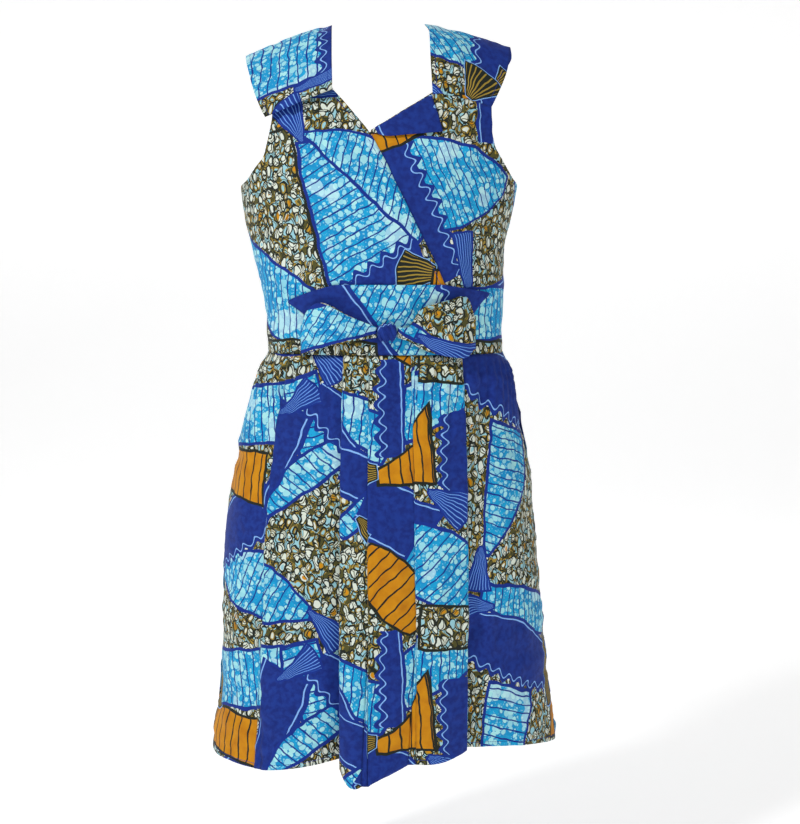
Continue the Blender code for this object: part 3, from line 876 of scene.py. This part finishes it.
# One motif of the print. It lies along a line of that length through (x, z), turned from +X
# towards +Z. Its upper and lower edges pass through three heights above that line, at its near
# end, middle and far end. The lower edge may be wavy, and a leaf's lines may slant.
Motif = namedtuple("Motif", "kind x z turn length tops lows wave slant", defaults=(0, 0))
SKIRT_CHART = as_rows(Motif, [
    (LEAF, -262, -490, 8, 196, (36, 40, 36), (-34, -38, -40)),
    (LEAF, -240, -715, -10, 216, (8, 56, 8), (-14, -32, -10), 0, -0.36),
    (NAVY, -290, -640, 29, 150, (44, 48, 48), (-24, -27, -24), 4),
    (LEAF, -135, -495, -75, 120, (26, 28, 22), (-26, -28, -20)),
    (NAVY, -188, -545, 66, 156, (34, 38, 42), (-30, -33, -30)),
    (ORANGE, -300, -564, -4, 116, (28, 30, 32), (-30, -32, -36)),
    (LEAF, -143, -572, 39, 134, (5, 28, 22), (-6, -12, -16), 0, 0.2),
    (LEAF, -28, -505, -22, 130, (36, 40, 40), (-18, -24, -22), 0, 0.3),
    (NAVY, -100, -512, -47, 116, (36, 44, 36), (-10, -11, -8), 4),
    (NAVY, -38, -562, -22, 112, (30, 32, 26), (-26, -30, -26)),
    (LEAF, -38, -606, 45, 76, (10, 15, 8), (-12, -17, -8)),
    (BLUE_FAN, -116, -752, -46, 66, (3, 13, 24), (-3, -13, -22)),
    (BLUE_FAN, -150, -806, 28, 64, (3, 14, 28), (-3, -10, -16)),
    (NAVY, 38, -618, -29, 150, (50, 48, 60), (-34, -38, -34)),
    (LEAF, 121, -800, 22, 170, (40, 46, 30), (-26, -32, -22), 0, -0.5),
    (NAVY, 34, -812, -90, 122, (14, 18, 18), (-16, -18, -16), 4),
    (ORANGE, 68, -556, 6, 106, (9, 38, 84), (-10, -16, -22)),
    (BLACK_FAN, 4, -555, 182, 30, (8, 14, 20), (-8, -12, -16)),
    (BLACK_FAN, -22, -628, -50, 52, (3, 13, 22), (-3, -11, -16)),
    (LEAF, 128, -672, -35, 140, (20, 42, 22), (-62, -54, -44), 0, -0.2),
    (ORANGE, 33, -702, -58, 128, (10, 38, 12), (-16, -32, -10), 0, 0.2),
    (NAVY, 150, -535, -90, 106, (24, 26, 24), (-24, -26, -22), 4),
    (LEAF, 178, -520, 84, 96, (10, 14, 10), (-16, -18, -16)),
    (BLUE_FAN, 138, -596, -30, 68, (3, 18, 30), (-3, -18, -28)),
    (RINGS, 140, -752, -2, 84, (28, 29, 28), (-28, -29, -28)),
    (LEAF, 262, -585, 75, 172, (4, 26, 42), (-4, -44, -46)),
    (LEAF, 305, -745, -20, 156, (20, 34, 40), (-10, -18, -16), 0, 0.3),
    (NAVY, 285, -796, -20, 196, (30, 46, 26), (-20, -36, -30), 4),
    (BLUE_FAN, 229, -684, -97, 60, (3, 15, 25), (-3, -15, -24)),
    (BLUE_FAN, 226, -730, 181, 54, (4, 12, 22), (-4, -12, -20)),
    (BLACK_FAN, 382, -830, -80, 100, (6, 16, 24), (-4, -12, -16)),
])
SKIRT_REPEAT = (0.74, 0.335)
BODICE_CHART = as_rows(Motif, [
    (LEAF, -245, -215, -62, 210, (20, 48, 26), (-18, -42, -14), 0, 0.3),
    (NAVY, -262, -330, 14, 190, (24, 28, 24), (-26, -30, -26), 4),
    (ORANGE, -272, -128, 62, 78, (12, 22, 16), (-12, -20, -12)),
    (BLUE_FAN, -196, -345, -58, 66, (4, 14, 24), (-4, -14, -24)),
    (LEAF, 235, -225, 68, 190, (22, 46, 28), (-22, -40, -18), 0, -0.3),
    (NAVY, 225, -345, -16, 200, (26, 30, 26), (-24, -28, -24), 4),
    (BLACK_FAN, 262, -128, 60, 60, (4, 14, 26), (-4, -14, -24)),
    (NAVY, 240, -60, 4, 170, (30, 34, 30), (-26, -28, -24), 4),
    (LEAF, -80, -243, -76, 200, (14, 92, 124), (-3, -5, -3), 0, 0.3),
    (LEAF, -27, -205, -43, 204, (4, 68, 22), (0, 0, 0), 0, 0.55),
    (RINGS, -80, -243, -76, 246, (-3, -5, -3), (-150, -150, -150)),
    (LEAF, -135, -303, -30, 180, (2, 6, 2), (-80, -84, -76), 0, 0.58),
    (RINGS, -150, -420, 2, 250, (27, 28, 27), (-34, -34, -34)),
    (NAVY, -14, -303, 214, 130, (40, 40, 34), (-3, -5, -3), 4.5),
    (BLACK_FAN, 46, -305, 172, 50, (10, 22, 34), (-10, -20, -26)),
    (ORANGE, 79, -316, -4, 30, (13, 14, 13), (-16, -16, -14)),
    (BLUE_FAN, -109, -119, 116, 62, (3, 16, 30), (-3, -14, -22)),
    (LEAF, 440, -175, -18, 160, (10, 30, 14), (-72, -88, -10), 0, 0.93),
    (NAVY, 406, -220, 114.5, 196, (82, 84, 82), (-3, -5, -3), 4.5),
    (ORANGE, 354, -143, 18, 82, (14, 16, 14), (-14, -13, -8)),
    (BLUE_FAN, 452, -298, 97, 88, (4, 11, 17), (-4, -11, -17)),
    (LEAF, 505, -362, 2, 186, (34, 38, 34), (-32, -32, -30)),
    (RINGS, 490, -422, -2, 250, (28, 29, 28), (-34, -34, -34)),
    (NAVY, 482, -112, 90, 70, (15, 17, 14), (-16, -18, -16)),
    (LEAF, -120, 8, 0, 180, (100, 100, 100), (-84, -86, -86)),
    (NAVY, -62, 2, -90, 170, (34, 34, 34), (-14, -16, -15), 4),
    (BLUE_FAN, -80, -82, 4, 56, (6, 8, 12), (-5, -8, -10)),
    (LEAF, 85, -4, -6, 100, (54, 54, 54), (-46, -42, -38), 0, 0.8),
    (NAVY, 146, -20, -90, 230, (44, 44, 44), (-28, -29, -28), 4),
    (BLUE_FAN, 74, -95, 165, 34, (5, 9, 13), (-5, -9, -12)),
    (BLACK_FAN, 158, -42, 45, 38, (4, 14, 22), (-4, -12, -18)),
    (ORANGE, 110, -98, -75, 34, (8, 9, 8), (-8, -9, -8)),
    (BLACK_FAN, 124, -64, 62, 56, (5, 20, 34), (-5, -20, -32)),
])
BODICE_REPEAT = (0.84, 0.60)
# How far each piece is moved on the chart of its print, so that they don't show the same part.
LEFT_FRONT_ON_CHART = 0.340
BACK_ON_CHART = 0.27
NECKLINE_FOLD_ON_CHART = (0.330, -0.115)
SKIRT_BACK_ON_CHART = 0.16
LOOPS_ON_CHART = 0.25
KNOT_ON_CHART = (-0.09, 0.256)
BOW_CHART = as_rows(Motif, [
    (LEAF, 22, -356, 0, 150, (46, 46, 46), (-60, -60, -60), 0, -0.58),
    (NAVY, -19, -355, 125, 140, (130, 130, 130), (-3, -4, -3)),
    (NAVY, 102, -345, -75, 100, (50, 50, 50), (-22, -24, -20), 3.5),
    (LEAF, -48, -130, 15, 140, (34, 40, 34), (-15, -16, -13), 0, -1.0),
    (LEAF, 38, -130, -30, 48, (6, 11, 5), (-6, -11, -5)),
    (BLUE_FAN, 80, -152, -24, 84, (3, 12, 24), (-3, -14, -26)),
    (RINGS, -58, -402, 5, 112, (6, 11, 4), (-20, -20, -20)),
    (NAVY, -81, -247, 24, 90, (12, 13, 12), (-26, -28, -26)),
])
BOW_REPEAT = (0.44, 0.36)

# Colours of the print, as linear red, green and blue.
TURQUOISE = (0.008, 0.400, 0.730)
DEEP_TURQUOISE = (0.005, 0.230, 0.560)
ICE = (0.440, 0.850, 0.870)
WASHED = (0.600, 0.900, 0.950)
FAN_BLUE = (0.030, 0.130, 0.560)
INK = (0.006, 0.030, 0.270)
ROYAL = (0.010, 0.040, 0.290)
DARK_ROYAL = (0.006, 0.023, 0.205)
PALE_LINE = (0.250, 0.500, 0.950)
AMBER = (0.660, 0.275, 0.004)
STAINED_AMBER = (0.480, 0.150, 0.002)
BLACK = (0.014, 0.019, 0.014)
OLIVE = (0.085, 0.080, 0.020)
CREAM = (0.740, 0.800, 0.700)
TAN = (0.400, 0.270, 0.040)
MIST = (0.330, 0.620, 0.700)
MIX_SOCKETS = {"FLOAT": (2, 3, 0), "VECTOR": (4, 5, 1), "RGBA": (6, 7, 2)}


class Graph:
    """Adds shader nodes to one material, joined as they are made."""

    def __init__(self, tree):
        self.tree = tree

    def add(self, kind, inputs, output=0, **settings):
        node = self.tree.nodes.new("ShaderNode" + kind)
        for name, value in settings.items():
            setattr(node, name, value)
        for socket, value in inputs.items():
            if isinstance(value, bpy.types.NodeSocket):
                self.tree.links.new(value, node.inputs[socket])
            elif value is not None:
                node.inputs[socket].default_value = value
        return node.outputs[output]

    def math(self, operation, *values):
        return self.add("Math", dict(enumerate(values)), operation=operation)

    def vector(self, operation, *values, output=0):
        return self.add("VectorMath", dict(enumerate(values)), output=output, operation=operation)

    def linear(self, value, by, plus):
        return self.math("MULTIPLY_ADD", value, by, plus)

    def less(self, value, limit):
        return self.math("LESS_THAN", value, limit)

    def more(self, value, limit):
        return self.math("GREATER_THAN", value, limit)

    def times(self, a, b):
        return self.math("MULTIPLY", a, b)

    def mix(self, kind, factor, a, b):
        first, second, output = MIX_SOCKETS[kind]
        return self.add("Mix", {0: factor, first: a, second: b}, output=output, data_type=kind)

    def paint(self, factor, under, over):
        over = (*over, 1) if isinstance(over, tuple) else over
        under = (*under, 1) if isinstance(under, tuple) else under
        return self.mix("RGBA", factor, under, over)

    def near(self, value, target, reach):
        """1 where value is within reach of target, else 0."""
        return self.math("COMPARE", value, target, reach)

    def split(self, vector):
        node = self.tree.nodes.new("ShaderNodeSeparateXYZ")
        self.tree.links.new(vector, node.inputs[0])
        return node.outputs

    def join(self, x, y, z):
        return self.add("CombineXYZ", {0: x, 1: y, 2: z})

    def noise(self, place, scale, detail, output=0):
        inputs = {"Vector": place, "Scale": scale, "Detail": detail}
        return self.add("TexNoise", inputs, output, noise_dimensions="2D")

    def voronoi(self, place, scale, randomness, output=0):
        inputs = {"Vector": place, "Scale": scale, "Randomness": randomness}
        return self.add("TexVoronoi", inputs, output, voronoi_dimensions="2D")


STRAIGHT = 1e-9  # a bend below this is a straight edge
FAN_CURVE = 10.0  # how much a fan's open end is rounded
WAVE_LENGTH = 0.0205  # of a wavy lower edge


def edge_of_motif(g, s, heights, length):
    """The height of a motif's edge at s: the parabola through its three heights."""
    near, middle, far = (h * MM for h in heights)
    half = length * MM / 2
    bend = ((near + far) / 2 - middle) / half**2
    tilt = (far - near) / 2 / half
    if abs(bend) < STRAIGHT:
        return g.linear(s, tilt, middle)
    return g.linear(g.linear(s, bend, tilt), s, middle)


def lay_motifs(g, place, chart, repeat):
    """Lays a chart's motifs over each other. At each point this gives, for the motif on top: how
    far along it the point lies, how far above its lower edge and inside its nearest edge, how
    wide it is there and its kind."""
    where = g.join(0.0, 0.0, 1.0)
    what = g.join(1.0, float(RINGS), 0.0)
    for motif in chart:
        centre = g.vector("SUBTRACT", place, (motif.x * MM, motif.z * MM, 0))
        half_x, half_z = repeat[0] / 2, repeat[1] / 2
        local = g.vector("WRAP", centre, (half_x, half_z, 1.0), (-half_x, -half_z, -1.0))
        turn = math.radians(motif.turn)
        s = g.vector("DOT_PRODUCT", local, (math.cos(turn), math.sin(turn), 0), output=1)
        t = g.vector("DOT_PRODUCT", local, (-math.sin(turn), math.cos(turn), 0), output=1)
        top = edge_of_motif(g, s, motif.tops, motif.length)
        low = edge_of_motif(g, s, motif.lows, motif.length)
        if motif.wave:
            ripple = g.math("SINE", g.times(s, 2 * math.pi / WAVE_LENGTH))
            low = g.linear(ripple, motif.wave * MM, low)
        above = g.math("SUBTRACT", t, low)
        below = g.math("SUBTRACT", top, t)
        width = g.math("SUBTRACT", top, low)
        to_end = g.math("SUBTRACT", motif.length * MM / 2, g.math("ABSOLUTE", s))
        if motif.kind in (BLUE_FAN, BLACK_FAN):
            to_end = g.linear(g.times(t, t), -FAN_CURVE, to_end)
        inside = g.math("MINIMUM", g.math("MINIMUM", above, below), to_end)
        covers = g.more(inside, 0.0)
        along = g.linear(t, motif.slant, s) if motif.slant else s
        where = g.mix("VECTOR", covers, where, g.join(along, above, inside))
        what = g.mix("VECTOR", covers, what, g.join(width, float(motif.kind), 0.0))
    return g.split(where), g.split(what)


# How many pebbles and rings there are to a metre.
PEBBLE_SCALE = 112.0
SMALL_PEBBLE_SCALE = 230.0
RINGS_SCALE = 84.0
SECOND_RINGS_SCALE = 80.0
DYE_SCALE = 60.0  # of the uneven dye and the cross lines' wobble
OUTLINE_NOISE = 26.0

# The drawn lines, in metres.
OUTLINE_WOBBLE, LINE_WOBBLE = 0.009, 0.0018
LEAF_PITCH, LEAF_STRIPE = 0.0120, 0.0018
ORANGE_PITCH, ORANGE_STRIPE = 0.0140, 0.0022
WAVY_AT, SMOOTH_AT = 0.0068, 0.0046  # a navy motif's pale lines, in from its edges
WAVY_HALF, SMOOTH_HALF = 0.0009, 0.0008  # and half their widths
PALE_RIM = 0.0011  # round a black fan
FAN_RAYS = 9.0
RAYS_HALF = 0.0075  # the half widths of all a fan's rays together
OUTLINES = {
    RINGS: (0.0036, BLACK),
    LEAF: (0.0042, INK),
    NAVY: (0.0030, INK),
    ORANGE: (0.0036, BLACK),
    BLUE_FAN: (0.0024, INK),
    BLACK_FAN: (0.0030, BLACK),
}


def outlined(g, kind, inside, colour):
    width, line = OUTLINES[kind]
    return g.paint(g.less(inside, width), colour, line)


def wobbled(g, place, scale, detail, reach):
    """place, moved about by noise of that scale."""
    noise = g.vector("SUBTRACT", g.noise(place, scale, detail, output=1), (0.5, 0.5, 0.5))
    return g.vector("MULTIPLY_ADD", noise, (reach, reach, 0.0), place)


def stripes(g, value, pitch, thickness):
    """Lines at every pitch of value."""
    share = g.math("FRACT", g.math("DIVIDE", value, pitch))
    return g.near(share, 0.5, thickness / pitch / 2)


def draw_rings(g, place):
    """Looped outlines round white, olive and pale blue: two sets of rings on each other."""
    place = wobbled(g, place, 75.0, 1.0, 0.0080)
    stretched = g.vector("MULTIPLY", place, (1.30, 0.82, 1.0))
    first = g.voronoi(stretched, RINGS_SCALE, 0.60)
    tint = g.split(g.voronoi(stretched, RINGS_SCALE, 0.60, output=1))
    moved = g.vector("ADD", stretched, (0.0052, 0.0041, 0.0))
    second = g.voronoi(moved, SECOND_RINGS_SCALE, 0.85)
    ground = g.noise(place, 95.0, 1.0)
    colour = g.paint(g.more(ground, 0.56), TAN, OLIVE)
    colour = g.paint(g.less(ground, 0.475), colour, MIST)
    heart = g.paint(g.more(tint[0], 0.62), CREAM, MIST)
    heart = g.paint(g.more(tint[1], 0.86), heart, AMBER)
    heart = g.paint(g.more(first, 0.22), heart, TAN)
    heart = g.paint(g.more(g.math("ADD", first, tint[2]), 0.62), heart, CREAM)
    colour = g.paint(g.less(first, 0.40), colour, heart)
    colour = g.paint(g.near(second, 0.40, 0.045), colour, BLACK)
    colour = g.paint(g.near(second, 0.60, 0.040), colour, OLIVE)
    return g.paint(g.near(first, 0.42, 0.075), colour, BLACK)


def draw_crackle(g, place):
    """Ice-blue pebbles, large and small, on turquoise, each in a thin darker ring."""
    patch = g.noise(place, 34.0, 2.0)
    pebble = g.voronoi(place, PEBBLE_SCALE, 0.92)
    shade = g.split(g.voronoi(place, PEBBLE_SCALE, 0.92, output=1))
    small = g.voronoi(place, SMALL_PEBBLE_SCALE, 1.0)
    reach = g.linear(patch, 0.95, -0.26)
    reach = g.linear(shade[0], 0.26, reach)
    large = g.less(pebble, reach)
    rim = g.near(g.math("SUBTRACT", pebble, reach), 0.035, 0.035)
    dots = g.less(small, g.linear(patch, 0.70, -0.14))
    ground = g.paint(g.times(shade[1], 0.75), TURQUOISE, DEEP_TURQUOISE)
    lighter = g.paint(0.50, ground, ICE)
    colour = g.paint(dots, ground, lighter)
    colour = g.paint(rim, colour, DEEP_TURQUOISE)
    bright = g.paint(g.times(shade[2], 0.40), ICE, TURQUOISE)
    colour = g.paint(large, colour, bright)
    elsewhere = g.vector("ADD", place, (0.31, 0.17, 0.0))
    bleach = g.more(g.noise(elsewhere, 17.0, 2.0), 0.655)
    return g.paint(g.times(bleach, 0.6), colour, WASHED)


def draw_leaf(g, place, run, inside):
    """Pebbled turquoise with fine cross lines."""
    colour = g.paint(stripes(g, run, LEAF_PITCH, LEAF_STRIPE), draw_crackle(g, place), INK)
    return outlined(g, LEAF, inside, colour)


def draw_navy(g, place, above, below, inside):
    """Unevenly dyed navy with a pale line inside each long edge."""
    dye = g.linear(g.noise(place, 130.0, 3.0), 3.2, -1.1)
    colour = outlined(g, NAVY, inside, g.paint(dye, DARK_ROYAL, ROYAL))
    colour = g.paint(g.near(above, WAVY_AT, WAVY_HALF), colour, PALE_LINE)
    return g.paint(g.near(below, SMOOTH_AT, SMOOTH_HALF), colour, PALE_LINE)


def draw_orange(g, place, run, inside):
    """Stained amber with black cross lines."""
    stain = g.linear(g.noise(place, DYE_SCALE, 3.0), 2.6, -0.9)
    colour = g.paint(g.times(stain, 0.6), AMBER, STAINED_AMBER)
    colour = g.paint(stripes(g, run, ORANGE_PITCH, ORANGE_STRIPE), colour, BLACK)
    return outlined(g, ORANGE, inside, colour)


def draw_fans(g, above, width, inside):
    """The blue fan and the black one, with rays that run out to the open end."""
    rays = g.math("FRACT", g.times(g.math("DIVIDE", above, width), FAN_RAYS))
    ray = g.near(rays, 0.5, g.math("MINIMUM", g.math("DIVIDE", RAYS_HALF, width), 0.22))
    blue = g.paint(ray, ROYAL, FAN_BLUE)
    blue = g.paint(g.near(rays, 0.5, 0.07), blue, PALE_LINE)
    black = outlined(g, BLACK_FAN, inside, g.paint(ray, BLACK, TAN))
    black = g.paint(g.less(inside, PALE_RIM), black, PALE_LINE)
    return outlined(g, BLUE_FAN, inside, blue), black


def print_colour(g, place, chart, repeat):
    """The wax print: its motifs, each drawn in its own way."""
    place = wobbled(g, place, OUTLINE_NOISE, 2.0, OUTLINE_WOBBLE)
    (along, above, inside), (width, kind, _) = lay_motifs(g, place, chart, repeat)
    run = g.linear(g.noise(place, DYE_SCALE, 1.0), LINE_WOBBLE, along)
    below = g.math("SUBTRACT", width, above)
    blue_fan, black_fan = draw_fans(g, above, width, inside)
    fills = {
        LEAF: draw_leaf(g, place, run, inside),
        NAVY: draw_navy(g, place, above, below, inside),
        ORANGE: draw_orange(g, place, run, inside),
        BLUE_FAN: blue_fan,
        BLACK_FAN: black_fan,
    }
    colour = outlined(g, RINGS, inside, draw_rings(g, place))
    for number, fill in fills.items():
        colour = g.paint(g.near(kind, float(number), 0.4), colour, fill)
    return colour


THREAD = 0.0011  # the pitch of the weave
STITCH_IN, STITCH_HALF_WIDTH = 0.0060, 0.00035  # where the stitches run, in from a turned edge
STITCH_PITCH, STITCH_LENGTH = 0.0026, 0.0019


def fill_in(node, values):
    for socket, value in values.items():
        node.inputs[socket].default_value = value


def new_material(name):
    material = bpy.data.materials.new(name)
    material.use_nodes = True
    return material, material.node_tree.nodes["Principled BSDF"]


def make_print(name, chart, repeat):
    material, shader = new_material(name + "_wax_print")
    tree = material.node_tree
    g = Graph(tree)
    uv = g.add("UVMap", {}, uv_map="cloth")
    colour = print_colour(g, uv, chart, repeat)
    # the weave: warp and weft threads, the small slubs between them and a little fading
    x, y, _ = g.split(uv)
    warp = g.math("SINE", g.times(x, 2 * math.pi / THREAD))
    weft = g.math("SINE", g.times(y, 2 * math.pi / THREAD))
    weave = g.times(warp, weft)
    slub = g.noise(uv, 900.0, 2.0)
    height = g.linear(slub, 0.8, weave)
    fade = g.linear(g.noise(uv, 14.0, 3.0), 0.16, 0.92)
    grain = g.linear(weave, 0.035, fade)
    colour = g.vector("SCALE", colour, None, None, None)
    tree.links.new(grain, colour.node.inputs["Scale"])
    # the stitches along a turned edge
    edge = g.add("Attribute", {}, output=2, attribute_name="from_edge")
    run = g.math("ADD", x, y)
    line = g.near(edge, STITCH_IN, STITCH_HALF_WIDTH)
    stitch = g.times(line, stripes(g, run, STITCH_PITCH, STITCH_LENGTH))
    colour = g.paint(stitch, colour, INK)
    height = g.math("SUBTRACT", height, g.times(stitch, 2.0))
    bump = g.add("Bump", {"Height": height, "Strength": 0.35, "Distance": 0.00012})
    rough = g.linear(slub, 0.14, 0.66)
    tree.links.new(colour, shader.inputs["Base Color"])
    tree.links.new(bump, shader.inputs["Normal"])
    tree.links.new(rough, shader.inputs["Roughness"])
    fill_in(shader, {"Sheen Weight": 0.04, "Sheen Roughness": 0.5, "Specular IOR Level": 0.20})
    return material


def make_prints():
    for name, chart, repeat in (
        ("skirt", SKIRT_CHART, SKIRT_REPEAT),
        ("bodice", BODICE_CHART, BODICE_REPEAT),
        ("bow", BOW_CHART, BOW_REPEAT),
    ):
        MATERIALS[name] = make_print(name, chart, repeat)


# ---- camera, lights, floor ----


WHITE = (1, 1, 1, 1)


def aim(made, place, target):
    """Puts a light or the camera at a place, looking at its target."""
    made.location = place
    made.rotation_euler = (Vector(target) - Vector(place)).to_track_quat("-Z", "Y").to_euler()


def make_stage():
    """A pale floor below the hem that sweeps up into a pale backdrop."""
    floor_z, back_y, sweep, steps = -1.16, 4.2, 1.2, 12
    profile = [(-4.0, floor_z), (back_y - sweep, floor_z)]
    for step in range(1, steps):
        turn = math.pi / 2 * step / steps
        y = back_y - sweep + sweep * math.sin(turn)
        profile.append((y, floor_z + sweep * (1 - math.cos(turn))))
    profile += [(back_y, floor_z + sweep), (back_y, 3.6)]
    vertices = [(x, y, z) for y, z in profile for x in (-5.0, 5.0)]
    faces = [(2 * i, 2 * i + 1, 2 * i + 3, 2 * i + 2) for i in range(len(profile) - 1)]
    mesh = bpy.data.meshes.new("studio_sweep")
    mesh.from_pydata(vertices, [], faces)
    paper, shader = new_material("studio_paper")
    fill_in(shader, {"Base Color": (0.85, 0.85, 0.85, 1), "Roughness": 0.9})
    fill_in(shader, {"Emission Color": WHITE, "Emission Strength": 0.48})
    mesh.materials.append(paper)
    mesh.shade_smooth()
    add_object("studio_sweep", mesh)


def make_light(name, place, target, size, power_watts):
    light = bpy.data.lights.new(name, "AREA")
    light.shape = "DISK"
    light.size = size
    light.energy = power_watts
    made = add_object(name, light)
    aim(made, place, target)
    made.visible_camera = False


def make_studio():
    make_stage()
    make_light("key", (-1.6, -1.8, 1.5), (0, 0, -0.45), 0.35, 46)
    make_light("fill", (1.9, -2.0, 0.1), (0, 0, -0.5), 1.8, 10)
    make_light("behind", (-1.4, 2.4, 1.4), (0, 0, -0.45), 1.4, 16)
    world = bpy.data.worlds.new("studio")
    world.use_nodes = True
    fill_in(world.node_tree.nodes["Background"], {"Color": WHITE, "Strength": 0.28})
    bpy.context.scene.world = world
    bpy.context.scene.view_settings.view_transform = "Standard"


CAMERA = (0.0251, -2.2, -0.30)
CAMERA_TARGET = (0.0251, 0, -0.491)


def make_camera():
    camera = bpy.data.cameras.new("camera")
    camera.sensor_fit = "HORIZONTAL"
    camera.sensor_width = 36
    camera.lens = 75.28
    made = add_object("camera", camera)
    aim(made, CAMERA, CAMERA_TARGET)
    bpy.context.scene.camera = made


make_camera()
make_studio()
make_prints()
make_bodice()
make_straps()
make_neckline_fold()
make_midriff()
make_loop("bow_loop_right", RIGHT_LOOP)
make_loop("bow_loop_left", LEFT_LOOP)
make_knot()
make_skirt_front()
make_skirt_back("skirt_back_right", -1, RIGHT_BACK_FOLDS)
make_skirt_back("skirt_back_left", 1, LEFT_BACK_FOLDS)
